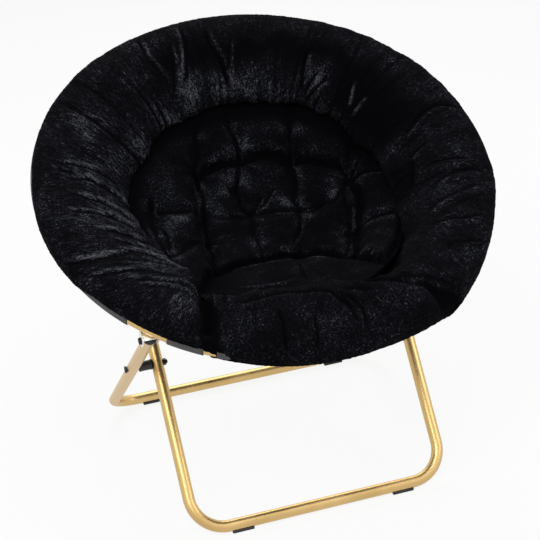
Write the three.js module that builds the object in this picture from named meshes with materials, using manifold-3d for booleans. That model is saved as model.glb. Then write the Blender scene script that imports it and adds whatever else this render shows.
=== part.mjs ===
// A folding saucer chair: a padded bowl seat slung in a round tube ring that folds across its
// width, on two crossed U-shaped leg frames. Millimetres, +Z up, front towards -Y, origin on the
// floor under the middle of the chair's box.
import * as THREE from 'three';
import { mergeVertices } from 'three/addons/utils/BufferGeometryUtils.js';
import Module from 'manifold-3d';

const wasm = await Module();
wasm.setup();

// Clearances
const gap = 0.3;
const runningGap = 0.6;
const overrun = 20;

// Tube stock
const tubeDiameter = 25;
const tubeWall = 1.2;
const tubeRadius = tubeDiameter / 2;
const tubeSides = 12;
const boreSides = 6;
const tubeFlat = tubeRadius * Math.cos(Math.PI / tubeSides);

// Ring: height and tilt of its plane, and how far in front of its middle it folds
const ringRadius = 462;
const ringHeight = 672;
const ringBack = 2;
const seatTilt = THREE.MathUtils.degToRad(27.4);
const foldForward = 138;
const ringSteps = 60;

// Leg frames: half widths to the tube's middle, and where the floor bars lie
const frontHalfWidth = 275;
const frameSpread = 53;
const rearHalfWidth = frontHalfWidth + frameSpread;
const frontBarForward = 244;
const rearBarBack = 356;
const legBendRadius = 72;
const bendSteps = 6;
const legOverhang = 9;

// Floor pads
const padThickness = 3;
const padWrap = 2.5;
const padLength = 46;
const padSole = 19;
const padInset = 26;

// Brackets that carry the ring on the legs
const bracketDrop = 35;
const bracketPlate = 2.5;
const bracketLength = 34;
const earRadius = 13;

// Pivot bolts and nuts
const boltRadius = 4;
const boltHeadRadius = 7.5;
const boltHeadHeight = 4.5;
const nutRadius = 7.5;
const nutHeight = 6;
const boltTail = 3;
const spacerRadius = 11;
const hexSides = 6;
const roundSides = 12;
const earSegments = 5;

// End plugs of the leg tubes
const plugDepth = 18;
const plugRim = 0.8;
const plugDome = 5;

// Fold hinges on the ring
const hingeRise = 18;
const hingePinRadius = 3;
const knuckleRadius = 5.5;
const leafLength = 44;
const leafWidth = 18;
const leafThickness = 2.5;
const knuckleCount = 3;
const pinHead = 5;
const pinHeadHeight = 2;

// Fabric shell: a sleeve round the ring and a bowl of cloth hung from it
const sleeveThickness = 1.6;
const shellThickness = 2;
const sleeveSides = 7;
const sleeveStartShare = 1.2;
const sleeveTurnShare = 1.94;
const shellDepth = 187;
const shellMouthInset = 26;
const shellMouthRadius = ringRadius - shellMouthInset;
const shellMouthDrop = 9;
const shellPower = 2.05;
const shellCourses = 5;
const windowLength = 88;
const windowInset = 3;
const slitOffset = 126;
const slitLength = 26;

// Rim cushion
const rimOverhang = 2.5;
const rimCrown = 34;
const rimInset = 177;
const rimInnerRadius = ringRadius - rimInset;
const rimInnerDrop = 58;
const gatherDepth = 4;
const gatherCount = 20;
const gatherStartShare = 0.25;
const hemSides = 5;
const rollShift = 12;
const rollRise = 46;
const rollStartShare = 0.3;
const rollFullAngle = THREE.MathUtils.degToRad(24);
const rollFadeAngle = THREE.MathUtils.degToRad(62);
// Across the band from its outer edge, and height: of the crown above, of the inner drop below
const rimOutlineShares = [
  [0, -0.04], [0, 0.35], [0.045, 0.8], [0.13, 1], [0.27, 1], [0.42, 0.8], [0.57, 0.38],
  [0.72, -0.08], [0.85, -0.36], [0.95, -0.68], [1, -1], [0.975, -1.22], [0.9, -1.36],
];

// Bowl cushion
const bowlTuck = 18;
const bowlRadius = rimInnerRadius + bowlTuck;
const bowlEdgeDrop = 86;
const bowlEdgeRound = 3;
const bowlDepth = 150;
const bowlPower = 2.6;
const bowlCourses = 8;
const tuftDepth = 15;
const tuftReach = 44;
const puffRise = 26;
const puffForward = 178;
const puffHalfWidth = 150;
const puffHalfDepth = 98;
const seamDepth = 7;
const seamShare = 0.24;
// Tuft places across and back, in shares of the bowl's radius
const tuftShares = [
  [-0.32, 0.48], [0, 0.6], [0.38, 0.42], [0.66, 0.05], [-0.02, 0.1], [0.31, -0.04],
  [0.57, -0.34], [-0.16, -0.2], [0.17, -0.32], [-0.46, -0.4], [-0.62, 0.08], [0.16, -0.8],
];

// Splits and openings in the cushions at the fold
const splitGap = 1.5;
const hingePocketWidth = 28;
const hingePocketLength = 92;
const hingePocketRise = 26;

const gold = new THREE.MeshStandardMaterial({ color: 0xb8935a, roughness: 0.32, metalness: 1 });
const zinc = new THREE.MeshStandardMaterial({ color: 0xd6d6d2, roughness: 0.3, metalness: 1 });
const blackSteel = new THREE.MeshStandardMaterial({ color: 0x151515, roughness: 0.45, metalness: 0.6 });
const blackPlastic = new THREE.MeshStandardMaterial({ color: 0x101010, roughness: 0.55, metalness: 0 });
const greyCloth = new THREE.MeshStandardMaterial({ color: 0x2b2b2c, roughness: 0.95, metalness: 0 });
const blackFur = new THREE.MeshStandardMaterial({ color: 0x0b0b0d, roughness: 0.9, metalness: 0 });

// Solid from a closed three.js geometry, facing outwards
function solidOf(geometry) {
  const bare = geometry.index ? geometry.toNonIndexed() : geometry.clone();
  bare.deleteAttribute('normal');
  bare.deleteAttribute('uv');
  const merged = mergeVertices(bare);
  const source = merged.index.array;
  const triangles = [];
  for (let i = 0; i < source.length; i += 3) {
    const [a, b, c] = [source[i], source[i + 1], source[i + 2]];
    if (a !== b && b !== c && c !== a) triangles.push(a, b, c);
  }
  const make = (list) =>
    new wasm.Manifold(
      new wasm.Mesh({
        numProp: 3,
        vertProperties: new Float32Array(merged.attributes.position.array),
        triVerts: new Uint32Array(list),
      }),
    );
  const solid = make(triangles);
  if (solid.volume() > 0) return solid;
  const flipped = [];
  for (let i = 0; i < triangles.length; i += 3) {
    flipped.push(triangles[i], triangles[i + 2], triangles[i + 1]);
  }
  return make(flipped);
}

// Geometry from a solid
function geometryOf(solid) {
  const mesh = solid.getMesh();
  const geometry = new THREE.BufferGeometry();
  geometry.setAttribute('position', new THREE.BufferAttribute(mesh.vertProperties, 3));
  geometry.setIndex(new THREE.BufferAttribute(mesh.triVerts, 1));
  return geometry;
}

function named(name, solid, material) {
  const mesh = new THREE.Mesh(geometryOf(solid), material);
  mesh.geometry.computeVertexNormals();
  mesh.name = name;
  return mesh;
}

// Corner points of a round section; the corners lie on the circle
function circlePoints(radius, sides, turn = 0) {
  const points = [];
  for (let i = 0; i < sides; i += 1) {
    const angle = (2 * Math.PI * i) / sides + turn;
    points.push(new THREE.Vector2(radius * Math.cos(angle), radius * Math.sin(angle)));
  }
  return points;
}

// Round bar along X between two places
function barAlongX(from, to, radius, sides, y = 0, z = 0) {
  const bar = new THREE.CylinderGeometry(radius, radius, Math.abs(to - from), sides);
  bar.rotateZ(Math.PI / 2);
  bar.translate((from + to) / 2, y, z);
  return solidOf(bar);
}

function block(x0, x1, y0, y1, z0, z1) {
  const box = new THREE.BoxGeometry(x1 - x0, y1 - y0, z1 - z0);
  box.translate((x0 + x1) / 2, (y0 + y1) / 2, (z0 + z1) / 2);
  return solidOf(box);
}

// Plate drawn in the Y-Z plane and extruded along X
function plateAlongX(shape, from, to) {
  const plate = new THREE.ExtrudeGeometry(shape, {
    depth: to - from,
    bevelEnabled: false,
    curveSegments: earSegments,
  });
  plate.rotateY(Math.PI / 2);
  plate.rotateX(Math.PI / 2);
  plate.translate(from, 0, 0);
  return solidOf(plate);
}

// Path of straight runs and round bends, with a section only where the tube starts, bends or ends
class BentPath extends THREE.Curve {
  constructor(corners, bendRadius) {
    super();
    this.places = [];
    this.directions = [];
    const last = corners.length - 1;
    const first = corners[1].clone().sub(corners[0]).normalize();
    this.add(corners[0], first);
    for (let i = 1; i < last; i += 1) {
      const into = corners[i].clone().sub(corners[i - 1]).normalize();
      const out = corners[i + 1].clone().sub(corners[i]).normalize();
      const turn = into.angleTo(out);
      const back = bendRadius * Math.tan(turn / 2);
      const inward = out.clone().sub(into).normalize();
      const middle = corners[i].clone().addScaledVector(inward, bendRadius / Math.cos(turn / 2));
      const spoke = corners[i].clone().addScaledVector(into, -back).sub(middle);
      const axis = into.clone().cross(out).normalize();
      for (let k = 0; k <= bendSteps; k += 1) {
        const angle = (turn * k) / bendSteps;
        const place = middle.clone().add(spoke.clone().applyAxisAngle(axis, angle));
        this.add(place, into.clone().applyAxisAngle(axis, angle));
      }
    }
    this.add(corners[last], corners[last].clone().sub(corners[last - 1]).normalize());
  }

  add(place, direction) {
    this.places.push(place.clone());
    this.directions.push(direction.clone());
  }

  get steps() {
    return this.places.length - 1;
  }

  getPointAt(share, target = new THREE.Vector3()) {
    return target.copy(this.places[Math.round(share * this.steps)]);
  }

  getTangentAt(share, target = new THREE.Vector3()) {
    return target.copy(this.directions[Math.round(share * this.steps)]);
  }
}

// Hollow tube along a path
function tubeAlong(path) {
  const section = new THREE.Shape(circlePoints(tubeRadius, tubeSides));
  section.holes.push(new THREE.Path(circlePoints(tubeRadius - tubeWall, boreSides)));
  const tube = new THREE.ExtrudeGeometry(section, { steps: path.steps, extrudePath: path });
  return solidOf(tube);
}

// Turned solid about the ring's axis, from a profile of radius and height
function turned(profile, change) {
  const lathe = new THREE.LatheGeometry(profile, ringSteps);
  lathe.rotateX(Math.PI / 2);
  if (change) {
    const place = lathe.attributes.position;
    const point = new THREE.Vector3();
    for (let i = 0; i < place.count; i += 1) {
      point.fromBufferAttribute(place, i);
      change(point, i % profile.length);
      place.setXYZ(i, point.x, point.y, point.z);
    }
  }
  return solidOf(lathe);
}

function ringSection(radius, sides) {
  const points = circlePoints(radius, sides, Math.PI / sides);
  points.push(points[0].clone());
  return points.map((p) => new THREE.Vector2(ringRadius + p.x, p.y));
}

// Places on the ring, in the ring's own frame: X across, Y back along its plane, Z square to it
const frontBracketY = -Math.sqrt(ringRadius ** 2 - rearHalfWidth ** 2);
const rearBracketY = Math.sqrt(ringRadius ** 2 - frontHalfWidth ** 2);
const hingeX = Math.sqrt(ringRadius ** 2 - foldForward ** 2);

function ringToWorld(y, z) {
  return new THREE.Vector2(
    ringBack + y * Math.cos(seatTilt) - z * Math.sin(seatTilt),
    ringHeight + y * Math.sin(seatTilt) + z * Math.cos(seatTilt),
  );
}

// Side view of the linkage: feet, ring pivots and the crossing of the legs
const barHeight = padThickness + tubeRadius;
const frontFoot = new THREE.Vector2(-frontBarForward, barHeight);
const rearFoot = new THREE.Vector2(rearBarBack, barHeight);
const frontPivot = ringToWorld(frontBracketY, -bracketDrop);
const rearPivot = ringToWorld(rearBracketY, -bracketDrop);
const frontLegSpan = rearPivot.clone().sub(frontFoot);
const rearLegSpan = frontPivot.clone().sub(rearFoot);
const footGap = rearFoot.clone().sub(frontFoot);
const crossShare = footGap.cross(rearLegSpan) / frontLegSpan.cross(rearLegSpan);
const crossing = frontFoot.clone().addScaledVector(frontLegSpan, crossShare);

// Leg frame in its own plane: X across, Y up the leg from the floor bar
function legCorners(halfWidth, length) {
  return [
    new THREE.Vector3(-halfWidth, length + legOverhang, 0),
    new THREE.Vector3(-halfWidth, 0, 0),
    new THREE.Vector3(halfWidth, 0, 0),
    new THREE.Vector3(halfWidth, length + legOverhang, 0),
  ];
}

function legFrame(name, halfWidth, length, crossAt) {
  const holeEnd = halfWidth + tubeRadius + overrun;
  const tube = tubeAlong(new BentPath(legCorners(halfWidth, length), legBendRadius));
  const holeRadius = boltRadius + gap;
  const topHole = barAlongX(-holeEnd, holeEnd, holeRadius, roundSides, length);
  const crossHole = barAlongX(-holeEnd, holeEnd, holeRadius, roundSides, crossAt);
  return named(name, tube.subtract(topHole).subtract(crossHole), gold);
}

// Plug with a domed end in the top of a leg tube, cut away round the pivot bolt
function legPlug(name, x, length) {
  const stem = tubeRadius - tubeWall - gap;
  const stemFlat = stem * Math.cos(Math.PI / boreSides);
  const rim = tubeRadius + plugRim;
  const end = length + legOverhang;
  const profile = [
    new THREE.Vector2(0, -plugDepth),
    new THREE.Vector2(stemFlat, -plugDepth),
    new THREE.Vector2(stemFlat, gap),
    new THREE.Vector2(rim, gap),
    new THREE.Vector2(rim, plugDome / 2),
    new THREE.Vector2(rim * Math.SQRT1_2, plugDome),
    new THREE.Vector2(0, plugDome + plugRim),
  ];
  const plug = new THREE.LatheGeometry(profile, roundSides);
  plug.translate(x, end, 0);
  const bolt = barAlongX(x - tubeRadius - overrun, x + tubeRadius + overrun,
    boltRadius + 2 * gap, roundSides, length);
  return named(name, solidOf(plug).subtract(bolt), blackPlastic);
}

// Rubber pad clipped under a floor bar, flat where it stands on the floor
function floorPad(name, x, y) {
  const outer = barAlongX(x - padLength / 2, x + padLength / 2, tubeRadius + padWrap,
    roundSides, y, barHeight);
  const foot = block(x - padLength / 2, x + padLength / 2, y - padSole / 2, y + padSole / 2,
    0, barHeight);
  const bar = barAlongX(x - padLength, x + padLength, tubeRadius + gap,
    tubeSides * 2, y, barHeight);
  const above = block(x - padLength, x + padLength, y - tubeDiameter, y + tubeDiameter,
    barHeight, barHeight + tubeDiameter);
  const below = block(x - padLength, x + padLength, y - tubeDiameter, y + tubeDiameter,
    -overrun, 0);
  return named(name, outer.add(foot).subtract(bar).subtract(above).subtract(below), blackPlastic);
}

// Bolt along X: hexagon head on the outer side, shank inwards
function sideBolt(name, side, headFace, tailEnd, y, z) {
  const shank = barAlongX(side * tailEnd, side * (headFace + boltHeadHeight / 2), boltRadius,
    roundSides, y, z);
  const head = barAlongX(side * headFace, side * (headFace + boltHeadHeight), boltHeadRadius,
    hexSides, y, z);
  return named(name, shank.add(head), blackSteel);
}

function sideNut(name, side, face, y, z) {
  const nut = barAlongX(side * face, side * (face - nutHeight), nutRadius, hexSides, y, z);
  const hole = barAlongX(side * (face + overrun), side * (face - nutHeight - overrun),
    boltRadius + gap, roundSides, y, z);
  return named(name, nut.subtract(hole), blackSteel);
}

// Clevis under the ring: a web against the tube and two ears down to the pivot
const earInner = tubeRadius + plugRim + gap;
const earOuter = earInner + bracketPlate;

function bracket(name, x, y) {
  const webTop = -tubeFlat - gap;
  const ear = new THREE.Shape();
  ear.moveTo(bracketLength / 2, webTop);
  ear.lineTo(earRadius, -bracketDrop);
  ear.absarc(0, -bracketDrop, earRadius, 0, -Math.PI, true);
  ear.lineTo(-bracketLength / 2, webTop);
  const slab = (from, to) => plateAlongX(ear, x + from, x + to).translate([0, y, 0]);
  const web = block(x - earOuter, x + earOuter, y - bracketLength / 2, y + bracketLength / 2,
    webTop - bracketPlate, webTop);
  const hole = barAlongX(x - earOuter - overrun, x + earOuter + overrun, boltRadius + gap,
    roundSides, y, -bracketDrop);
  const body = slab(-earOuter, -earInner).add(slab(earInner, earOuter)).add(web);
  return named(name, body.subtract(hole), zinc);
}

// Pivot of a leg in its bracket: bolt head outside, nut inside
function pivotSet(prefix, x, y) {
  const side = Math.sign(x);
  const reach = Math.abs(x);
  const headFace = reach + earOuter + gap;
  const nutFace = reach - earOuter - gap;
  const tail = nutFace - nutHeight - boltTail;
  return [
    sideBolt(`${prefix}_pivot_bolt`, side, headFace, tail, y, -bracketDrop),
    sideNut(`${prefix}_pivot_nut`, side, nutFace, y, -bracketDrop),
  ];
}

// Fold hinge: a leaf on each tube end, three knuckles on one pin above the tube
const leafTop = tubeFlat + gap + leafThickness;

function hingeLeaf(name, side, towards, knuckles) {
  const x = side * hingeX;
  const y = -foldForward;
  const start = knuckleRadius + runningGap + (leafWidth * foldForward) / (2 * hingeX);
  const plate = new THREE.BoxGeometry(leafWidth, leafLength - start, leafThickness);
  plate.translate(0, (towards * (leafLength + start)) / 2, leafTop - leafThickness / 2);
  plate.rotateZ(-side * Math.atan2(foldForward, hingeX));
  plate.translate(x, y, 0);
  const pitch = leafWidth / knuckleCount;
  const armEnd = y + towards * (start + knuckleRadius);
  let leaf = solidOf(plate);
  for (const k of knuckles) {
    const x0 = x - leafWidth / 2 + k * pitch + gap / 2;
    const x1 = x0 + pitch - gap;
    const barrel = barAlongX(x0, x1, knuckleRadius, roundSides, y, hingeRise);
    const arm = block(x0, x1, Math.min(y, armEnd), Math.max(y, armEnd),
      leafTop - leafThickness, hingeRise - hingePinRadius);
    leaf = leaf.add(barrel).add(arm);
  }
  const bore = barAlongX(x - leafWidth, x + leafWidth, hingePinRadius + gap, roundSides,
    y, hingeRise);
  return named(name, leaf.subtract(bore), zinc);
}

function hingePin(name, side) {
  const x = side * hingeX;
  const half = leafWidth / 2 + gap;
  const rod = barAlongX(x - half, x + half, hingePinRadius, roundSides, -foldForward, hingeRise);
  const heads = [-1, 1].map((end) =>
    barAlongX(x + end * half, x + end * (half + pinHeadHeight), pinHead, roundSides,
      -foldForward, hingeRise));
  return named(name, rod.add(heads[0]).add(heads[1]), zinc);
}

// Everything of a turned piece in front of the fold, or behind it, less half of the parting
const turnedReach = ringRadius + tubeDiameter + overrun;

function frontOf(solid, parting) {
  return solid.subtract(block(-turnedReach, turnedReach, -foldForward - parting / 2, turnedReach,
    -turnedReach, turnedReach));
}

function behind(solid, parting) {
  return solid.subtract(block(-turnedReach, turnedReach, -turnedReach, -foldForward + parting / 2,
    -turnedReach, turnedReach));
}

const ringBore = turned(ringSection(tubeRadius - tubeWall, boreSides));
const ringTube = turned(ringSection(tubeRadius, tubeSides)).subtract(ringBore);

// Fabric shell: height of its upper face at a radius, along the same courses as its wall
const sleeveStep = (Math.PI * sleeveTurnShare) / sleeveSides;
const sleeveInner = (tubeRadius + gap) / Math.cos(sleeveStep / 2);
const sleeveOuter = (tubeRadius + gap + sleeveThickness) / Math.cos(sleeveStep / 2);
const shellRadii = [];
for (let i = 0; i <= shellCourses; i += 1) shellRadii.push((shellMouthRadius * i) / shellCourses);

function shellCurve(radius) {
  const share = Math.min(1, radius / shellMouthRadius);
  return -shellMouthDrop - (shellDepth - shellMouthDrop) * (1 - share ** shellPower);
}

function shellFace(radius) {
  const course = shellMouthRadius / shellCourses;
  const i = Math.min(shellCourses - 1, Math.floor(radius / course));
  const share = (radius - shellRadii[i]) / course;
  return THREE.MathUtils.lerp(shellCurve(shellRadii[i]), shellCurve(shellRadii[i + 1]), share);
}

function aroundTube(radius, angle) {
  return new THREE.Vector2(ringRadius + radius * Math.cos(angle), radius * Math.sin(angle));
}

function shellProfile() {
  const under = shellRadii.map((r) => new THREE.Vector2(r, shellCurve(r) - shellThickness));
  const over = shellRadii.map((r) => new THREE.Vector2(r, shellCurve(r)));
  const outer = [];
  const inner = [];
  for (let i = 0; i <= sleeveSides; i += 1) {
    const angle = Math.PI * sleeveStartShare + sleeveStep * i;
    outer.push(aroundTube(sleeveOuter, angle));
    inner.push(aroundTube(sleeveInner, angle));
  }
  return [...under, ...outer, ...inner.reverse(), ...over.reverse()];
}

// Opening in the sleeve round the ring, where a bracket or a slit leaves the tube bare
function sleeveWindow(azimuth, length) {
  const depth = 2 * (sleeveOuter + windowInset);
  const cut = new THREE.BoxGeometry(depth, length, 2 * depth);
  cut.translate(ringRadius, 0, 0);
  cut.rotateZ(azimuth);
  return solidOf(cut);
}

// Pocket over a fold hinge
function hingePocket(side) {
  const cut = new THREE.BoxGeometry(hingePocketWidth, hingePocketLength, hingePocketRise);
  cut.translate(0, 0, hingePocketRise / 2);
  cut.rotateZ(-side * Math.atan2(foldForward, hingeX));
  cut.translate(side * hingeX, -foldForward, 0);
  return solidOf(cut);
}

function fabricShell() {
  let shell = turned(shellProfile());
  for (const side of [-1, 1]) {
    const front = Math.atan2(frontBracketY, side * rearHalfWidth);
    const rear = Math.atan2(rearBracketY, side * frontHalfWidth);
    const slit = front - (side * slitOffset) / ringRadius;
    shell = shell.subtract(sleeveWindow(front, windowLength));
    shell = shell.subtract(sleeveWindow(rear, windowLength));
    shell = shell.subtract(sleeveWindow(slit, slitLength));
    shell = shell.subtract(hingePocket(side));
  }
  return shell;
}

// How far a place belongs to the rolled front of the seat, from 0 to 1
function frontShare(x, y) {
  const facing = -y / Math.hypot(x, y);
  return THREE.MathUtils.smoothstep(facing, Math.cos(rollFadeAngle), Math.cos(rollFullAngle));
}

// Rim cushion: crowned band from the hem on the ring in to a lip over the bowl
const hemStep = Math.PI / hemSides;
const hemRadius = (sleeveOuter + gap) / Math.cos(hemStep / 2);
const rimOuterRadius = ringRadius + hemRadius + rimOverhang;
const rimWidth = rimOuterRadius - rimInnerRadius;

function rimProfile() {
  const points = rimOutlineShares.map(([across, height]) => new THREE.Vector2(
    rimOuterRadius - across * rimWidth,
    height > 0 ? height * rimCrown : height * rimInnerDrop,
  ));
  const inner = points[points.length - 1].x;
  for (const radius of shellRadii) {
    if (radius > inner) points.push(new THREE.Vector2(radius, shellFace(radius) + gap));
  }
  for (let i = hemSides; i >= 0; i -= 1) points.push(aroundTube(hemRadius, hemStep * i));
  points.push(points[0].clone());
  return points;
}

function gatherWave(x, y) {
  return -Math.cos(gatherCount * Math.atan2(y, x));
}

function shapeRim(point, index) {
  const radius = Math.hypot(point.x, point.y);
  const across = (rimOuterRadius - radius) / rimWidth;
  const inward = THREE.MathUtils.smoothstep(across, rollStartShare, 1);
  const front = frontShare(point.x, point.y) * inward;
  const onOutline = index < rimOutlineShares.length;
  if (onOutline) {
    point.z += front * rollRise;
    const gather = THREE.MathUtils.smoothstep(across, 0, gatherStartShare);
    point.z += gatherDepth * gather * gatherWave(point.x, point.y);
  }
  const moved = (radius + front * rollShift) / radius;
  point.x *= moved;
  point.y *= moved;
  if (!onOutline && radius < shellMouthRadius) {
    point.z = Math.max(point.z, shellFace(Math.hypot(point.x, point.y)) + gap);
  }
}

// Bowl cushion: tufted wall and floor with a puffed seat in front
function bowlProfile() {
  const points = [];
  for (let i = 0; i <= bowlCourses; i += 1) {
    const radius = (bowlRadius * i) / bowlCourses;
    const share = i / bowlCourses;
    const height = -bowlEdgeDrop - (bowlDepth - bowlEdgeDrop) * (1 - share ** bowlPower);
    points.push(new THREE.Vector2(radius, height));
  }
  const edge = shellFace(bowlRadius) + gap;
  points.push(new THREE.Vector2(bowlRadius + bowlEdgeRound, (edge - bowlEdgeDrop) / 2));
  points.push(new THREE.Vector2(bowlRadius, edge));
  for (const radius of [...shellRadii].reverse()) {
    if (radius < bowlRadius) points.push(new THREE.Vector2(radius, shellFace(radius) + gap));
  }
  return points;
}

function bump(distance, reach) {
  const share = Math.min(1, distance / reach);
  return (1 - share * share) ** 2;
}

function shapeBowl(point, index) {
  const radius = Math.hypot(point.x, point.y);
  const share = radius / bowlRadius;
  const front = radius > 0 ? frontShare(point.x, point.y) * Math.min(1, share ** 2) : 0;
  const onTop = index < bowlCourses;
  if (onTop) {
    for (const [across, back] of tuftShares) {
      const away = Math.hypot(point.x - across * bowlRadius, point.y - back * bowlRadius);
      point.z -= tuftDepth * bump(away, tuftReach);
    }
  }
  if (index <= bowlCourses) {
    const along = (point.y + puffForward) / puffHalfDepth;
    const round = Math.hypot(point.x / puffHalfWidth, along);
    point.z += puffRise * bump(round, 1) - seamDepth * bump(Math.abs(round - 1), seamShare);
    point.z += front * rollRise;
  }
  const moved = 1 + (front * rollShift) / Math.max(radius, 1);
  point.x *= moved;
  point.y *= moved;
  const floor = shellFace(Math.min(shellMouthRadius, Math.hypot(point.x, point.y))) + gap;
  if (index > bowlCourses + 1) point.z = floor;
  else point.z = Math.max(point.z, floor + shellThickness * (index === bowlCourses + 1 ? 1 : 2));
}

// Ring and seat, built flat and then tilted into place
const hingeSides = [['left', -1], ['right', 1]];
const shell = fabricShell();
let rim = turned(rimProfile(), shapeRim);
for (const [, side] of hingeSides) rim = rim.subtract(hingePocket(side));
const bowl = turned(bowlProfile(), shapeBowl);

const seat = new THREE.Group();
seat.rotation.x = seatTilt;
seat.position.set(0, ringBack, ringHeight);
seat.add(named('front_ring_tube', frontOf(ringTube, gap), gold));
seat.add(named('rear_ring_tube', behind(ringTube, gap), gold));
seat.add(named('front_fabric_shell', frontOf(shell, splitGap), greyCloth));
seat.add(named('rear_fabric_shell', behind(shell, splitGap), greyCloth));
seat.add(named('front_rim_cushion', frontOf(rim, splitGap), blackFur));
seat.add(named('rear_rim_cushion', behind(rim, splitGap), blackFur));
seat.add(named('front_seat_cushion', frontOf(bowl, splitGap), blackFur));
seat.add(named('rear_seat_cushion', behind(bowl, splitGap), blackFur));
for (const [hand, side] of hingeSides) {
  seat.add(hingeLeaf(`${hand}_front_hinge_leaf`, side, -1, [1]));
  seat.add(hingeLeaf(`${hand}_rear_hinge_leaf`, side, 1, [0, knuckleCount - 1]));
  seat.add(hingePin(`${hand}_hinge_pin`, side));
  seat.add(bracket(`${hand}_front_bracket`, side * rearHalfWidth, frontBracketY));
  seat.add(bracket(`${hand}_rear_bracket`, side * frontHalfWidth, rearBracketY));
  seat.add(...pivotSet(`${hand}_front`, side * rearHalfWidth, frontBracketY));
  seat.add(...pivotSet(`${hand}_rear`, side * frontHalfWidth, rearBracketY));
}

// Leg frames, each built in its own plane and then leaned from its floor bar
function leaningGroup(foot, span) {
  const group = new THREE.Group();
  group.position.set(0, foot.x, foot.y);
  group.rotation.x = Math.atan2(span.y, span.x);
  return group;
}

const frontLegs = leaningGroup(frontFoot, frontLegSpan);
const frontLength = frontLegSpan.length();
const frontCross = crossing.distanceTo(frontFoot);
frontLegs.add(legFrame('front_leg_frame', frontHalfWidth, frontLength, frontCross));

const rearLegs = leaningGroup(rearFoot, rearLegSpan);
const rearLength = rearLegSpan.length();
const rearCross = crossing.distanceTo(rearFoot);
rearLegs.add(legFrame('rear_leg_frame', rearHalfWidth, rearLength, rearCross));

// Crossing pivots: bolt and spacer on the rear frame, stub and nut on the front frame
const rearOuterFace = rearHalfWidth + tubeRadius + gap;
const rearInnerFace = rearHalfWidth - tubeRadius - gap;
const frontOuterFace = frontHalfWidth + tubeRadius + gap;
const frontInnerFace = frontHalfWidth - tubeRadius - gap;

function crossSpacer(name, side) {
  const body = barAlongX(side * rearInnerFace, side * frontOuterFace, spacerRadius, roundSides,
    rearCross);
  const bore = barAlongX(side * (rearInnerFace + overrun), side * (frontOuterFace - overrun),
    boltRadius + gap, roundSides, rearCross);
  return named(name, body.subtract(bore), blackPlastic);
}

function crossStub(name, side) {
  const stub = barAlongX(side * (frontOuterFace - 2 * gap),
    side * (frontInnerFace - nutHeight - boltTail), boltRadius, roundSides, frontCross);
  const nut = barAlongX(side * frontInnerFace, side * (frontInnerFace - nutHeight), nutRadius,
    hexSides, frontCross);
  return named(name, stub.add(nut), blackSteel);
}

for (const [hand, side] of hingeSides) {
  frontLegs.add(legPlug(`${hand}_front_leg_plug`, side * frontHalfWidth, frontLength));
  frontLegs.add(crossStub(`${hand}_cross_nut`, side));
  rearLegs.add(legPlug(`${hand}_rear_leg_plug`, side * rearHalfWidth, rearLength));
  rearLegs.add(sideBolt(`${hand}_cross_bolt`, side, rearOuterFace, frontOuterFace, rearCross, 0));
  rearLegs.add(crossSpacer(`${hand}_cross_spacer`, side));
}

const chair = new THREE.Group();
chair.name = 'folding_saucer_chair';
chair.add(seat, frontLegs, rearLegs);
const bars = [['front', frontHalfWidth, frontFoot.x], ['rear', rearHalfWidth, rearFoot.x]];
for (const [end, halfWidth, y] of bars) {
  const x = halfWidth - legBendRadius - padInset;
  for (const [hand, side] of hingeSides) {
    chair.add(floorPad(`${hand}_${end}_floor_pad`, side * x, y));
  }
}

export default chair;
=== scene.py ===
"""A folding saucer chair: black plush padding in a dark cloth cover, hung in a gold tube ring on two
crossed U-shaped leg frames. Metres, +Z up, front towards -Y."""

import math

import bmesh
import bpy
import numpy as np
from mathutils import Matrix, Vector, noise


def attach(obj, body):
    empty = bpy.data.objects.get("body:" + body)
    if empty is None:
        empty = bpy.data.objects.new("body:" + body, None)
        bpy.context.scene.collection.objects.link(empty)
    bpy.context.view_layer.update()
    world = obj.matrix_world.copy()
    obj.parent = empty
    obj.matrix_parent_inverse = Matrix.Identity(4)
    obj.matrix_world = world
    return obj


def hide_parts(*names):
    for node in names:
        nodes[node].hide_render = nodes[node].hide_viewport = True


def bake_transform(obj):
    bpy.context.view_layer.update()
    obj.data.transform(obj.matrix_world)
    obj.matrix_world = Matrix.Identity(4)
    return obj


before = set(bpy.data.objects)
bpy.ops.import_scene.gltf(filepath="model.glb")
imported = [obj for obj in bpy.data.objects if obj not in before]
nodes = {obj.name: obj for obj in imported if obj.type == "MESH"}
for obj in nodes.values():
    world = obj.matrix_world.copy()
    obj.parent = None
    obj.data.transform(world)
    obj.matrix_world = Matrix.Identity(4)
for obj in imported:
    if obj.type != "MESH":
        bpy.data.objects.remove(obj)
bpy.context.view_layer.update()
MM = 0.001
EDGE_BREAK = 0.5 * MM

# Ring and seat: the seat's own frame has X across, Y back along the ring's plane, Z square to it
TILT = math.radians(27.4)
RING_BACK, RING_HEIGHT = 2 * MM, 672 * MM
TO_SEAT = Matrix.Translation((0, RING_BACK, RING_HEIGHT)) @ Matrix.Rotation(TILT, 4, "X")
RING = 462 * MM
TUBE = 12.5 * MM
FOLD = -138 * MM
FRONT_HALF, REAR_HALF = 275 * MM, 328 * MM
DROP = 35 * MM
FRONT_BRACKET = -math.sqrt(RING**2 - REAR_HALF**2)
REAR_BRACKET = math.sqrt(RING**2 - FRONT_HALF**2)

# Leg frames, seen from the side: feet, the pivots under the ring and the crossing
BAR_HEIGHT = 15.5 * MM
BEND = 72 * MM
OVERHANG = 9 * MM
FRONT_FOOT, REAR_FOOT = Vector((0, -244 * MM, BAR_HEIGHT)), Vector((0, 356 * MM, BAR_HEIGHT))
FRONT_PIVOT = TO_SEAT @ Vector((0, FRONT_BRACKET, -DROP))
REAR_PIVOT = TO_SEAT @ Vector((0, REAR_BRACKET, -DROP))


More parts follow.
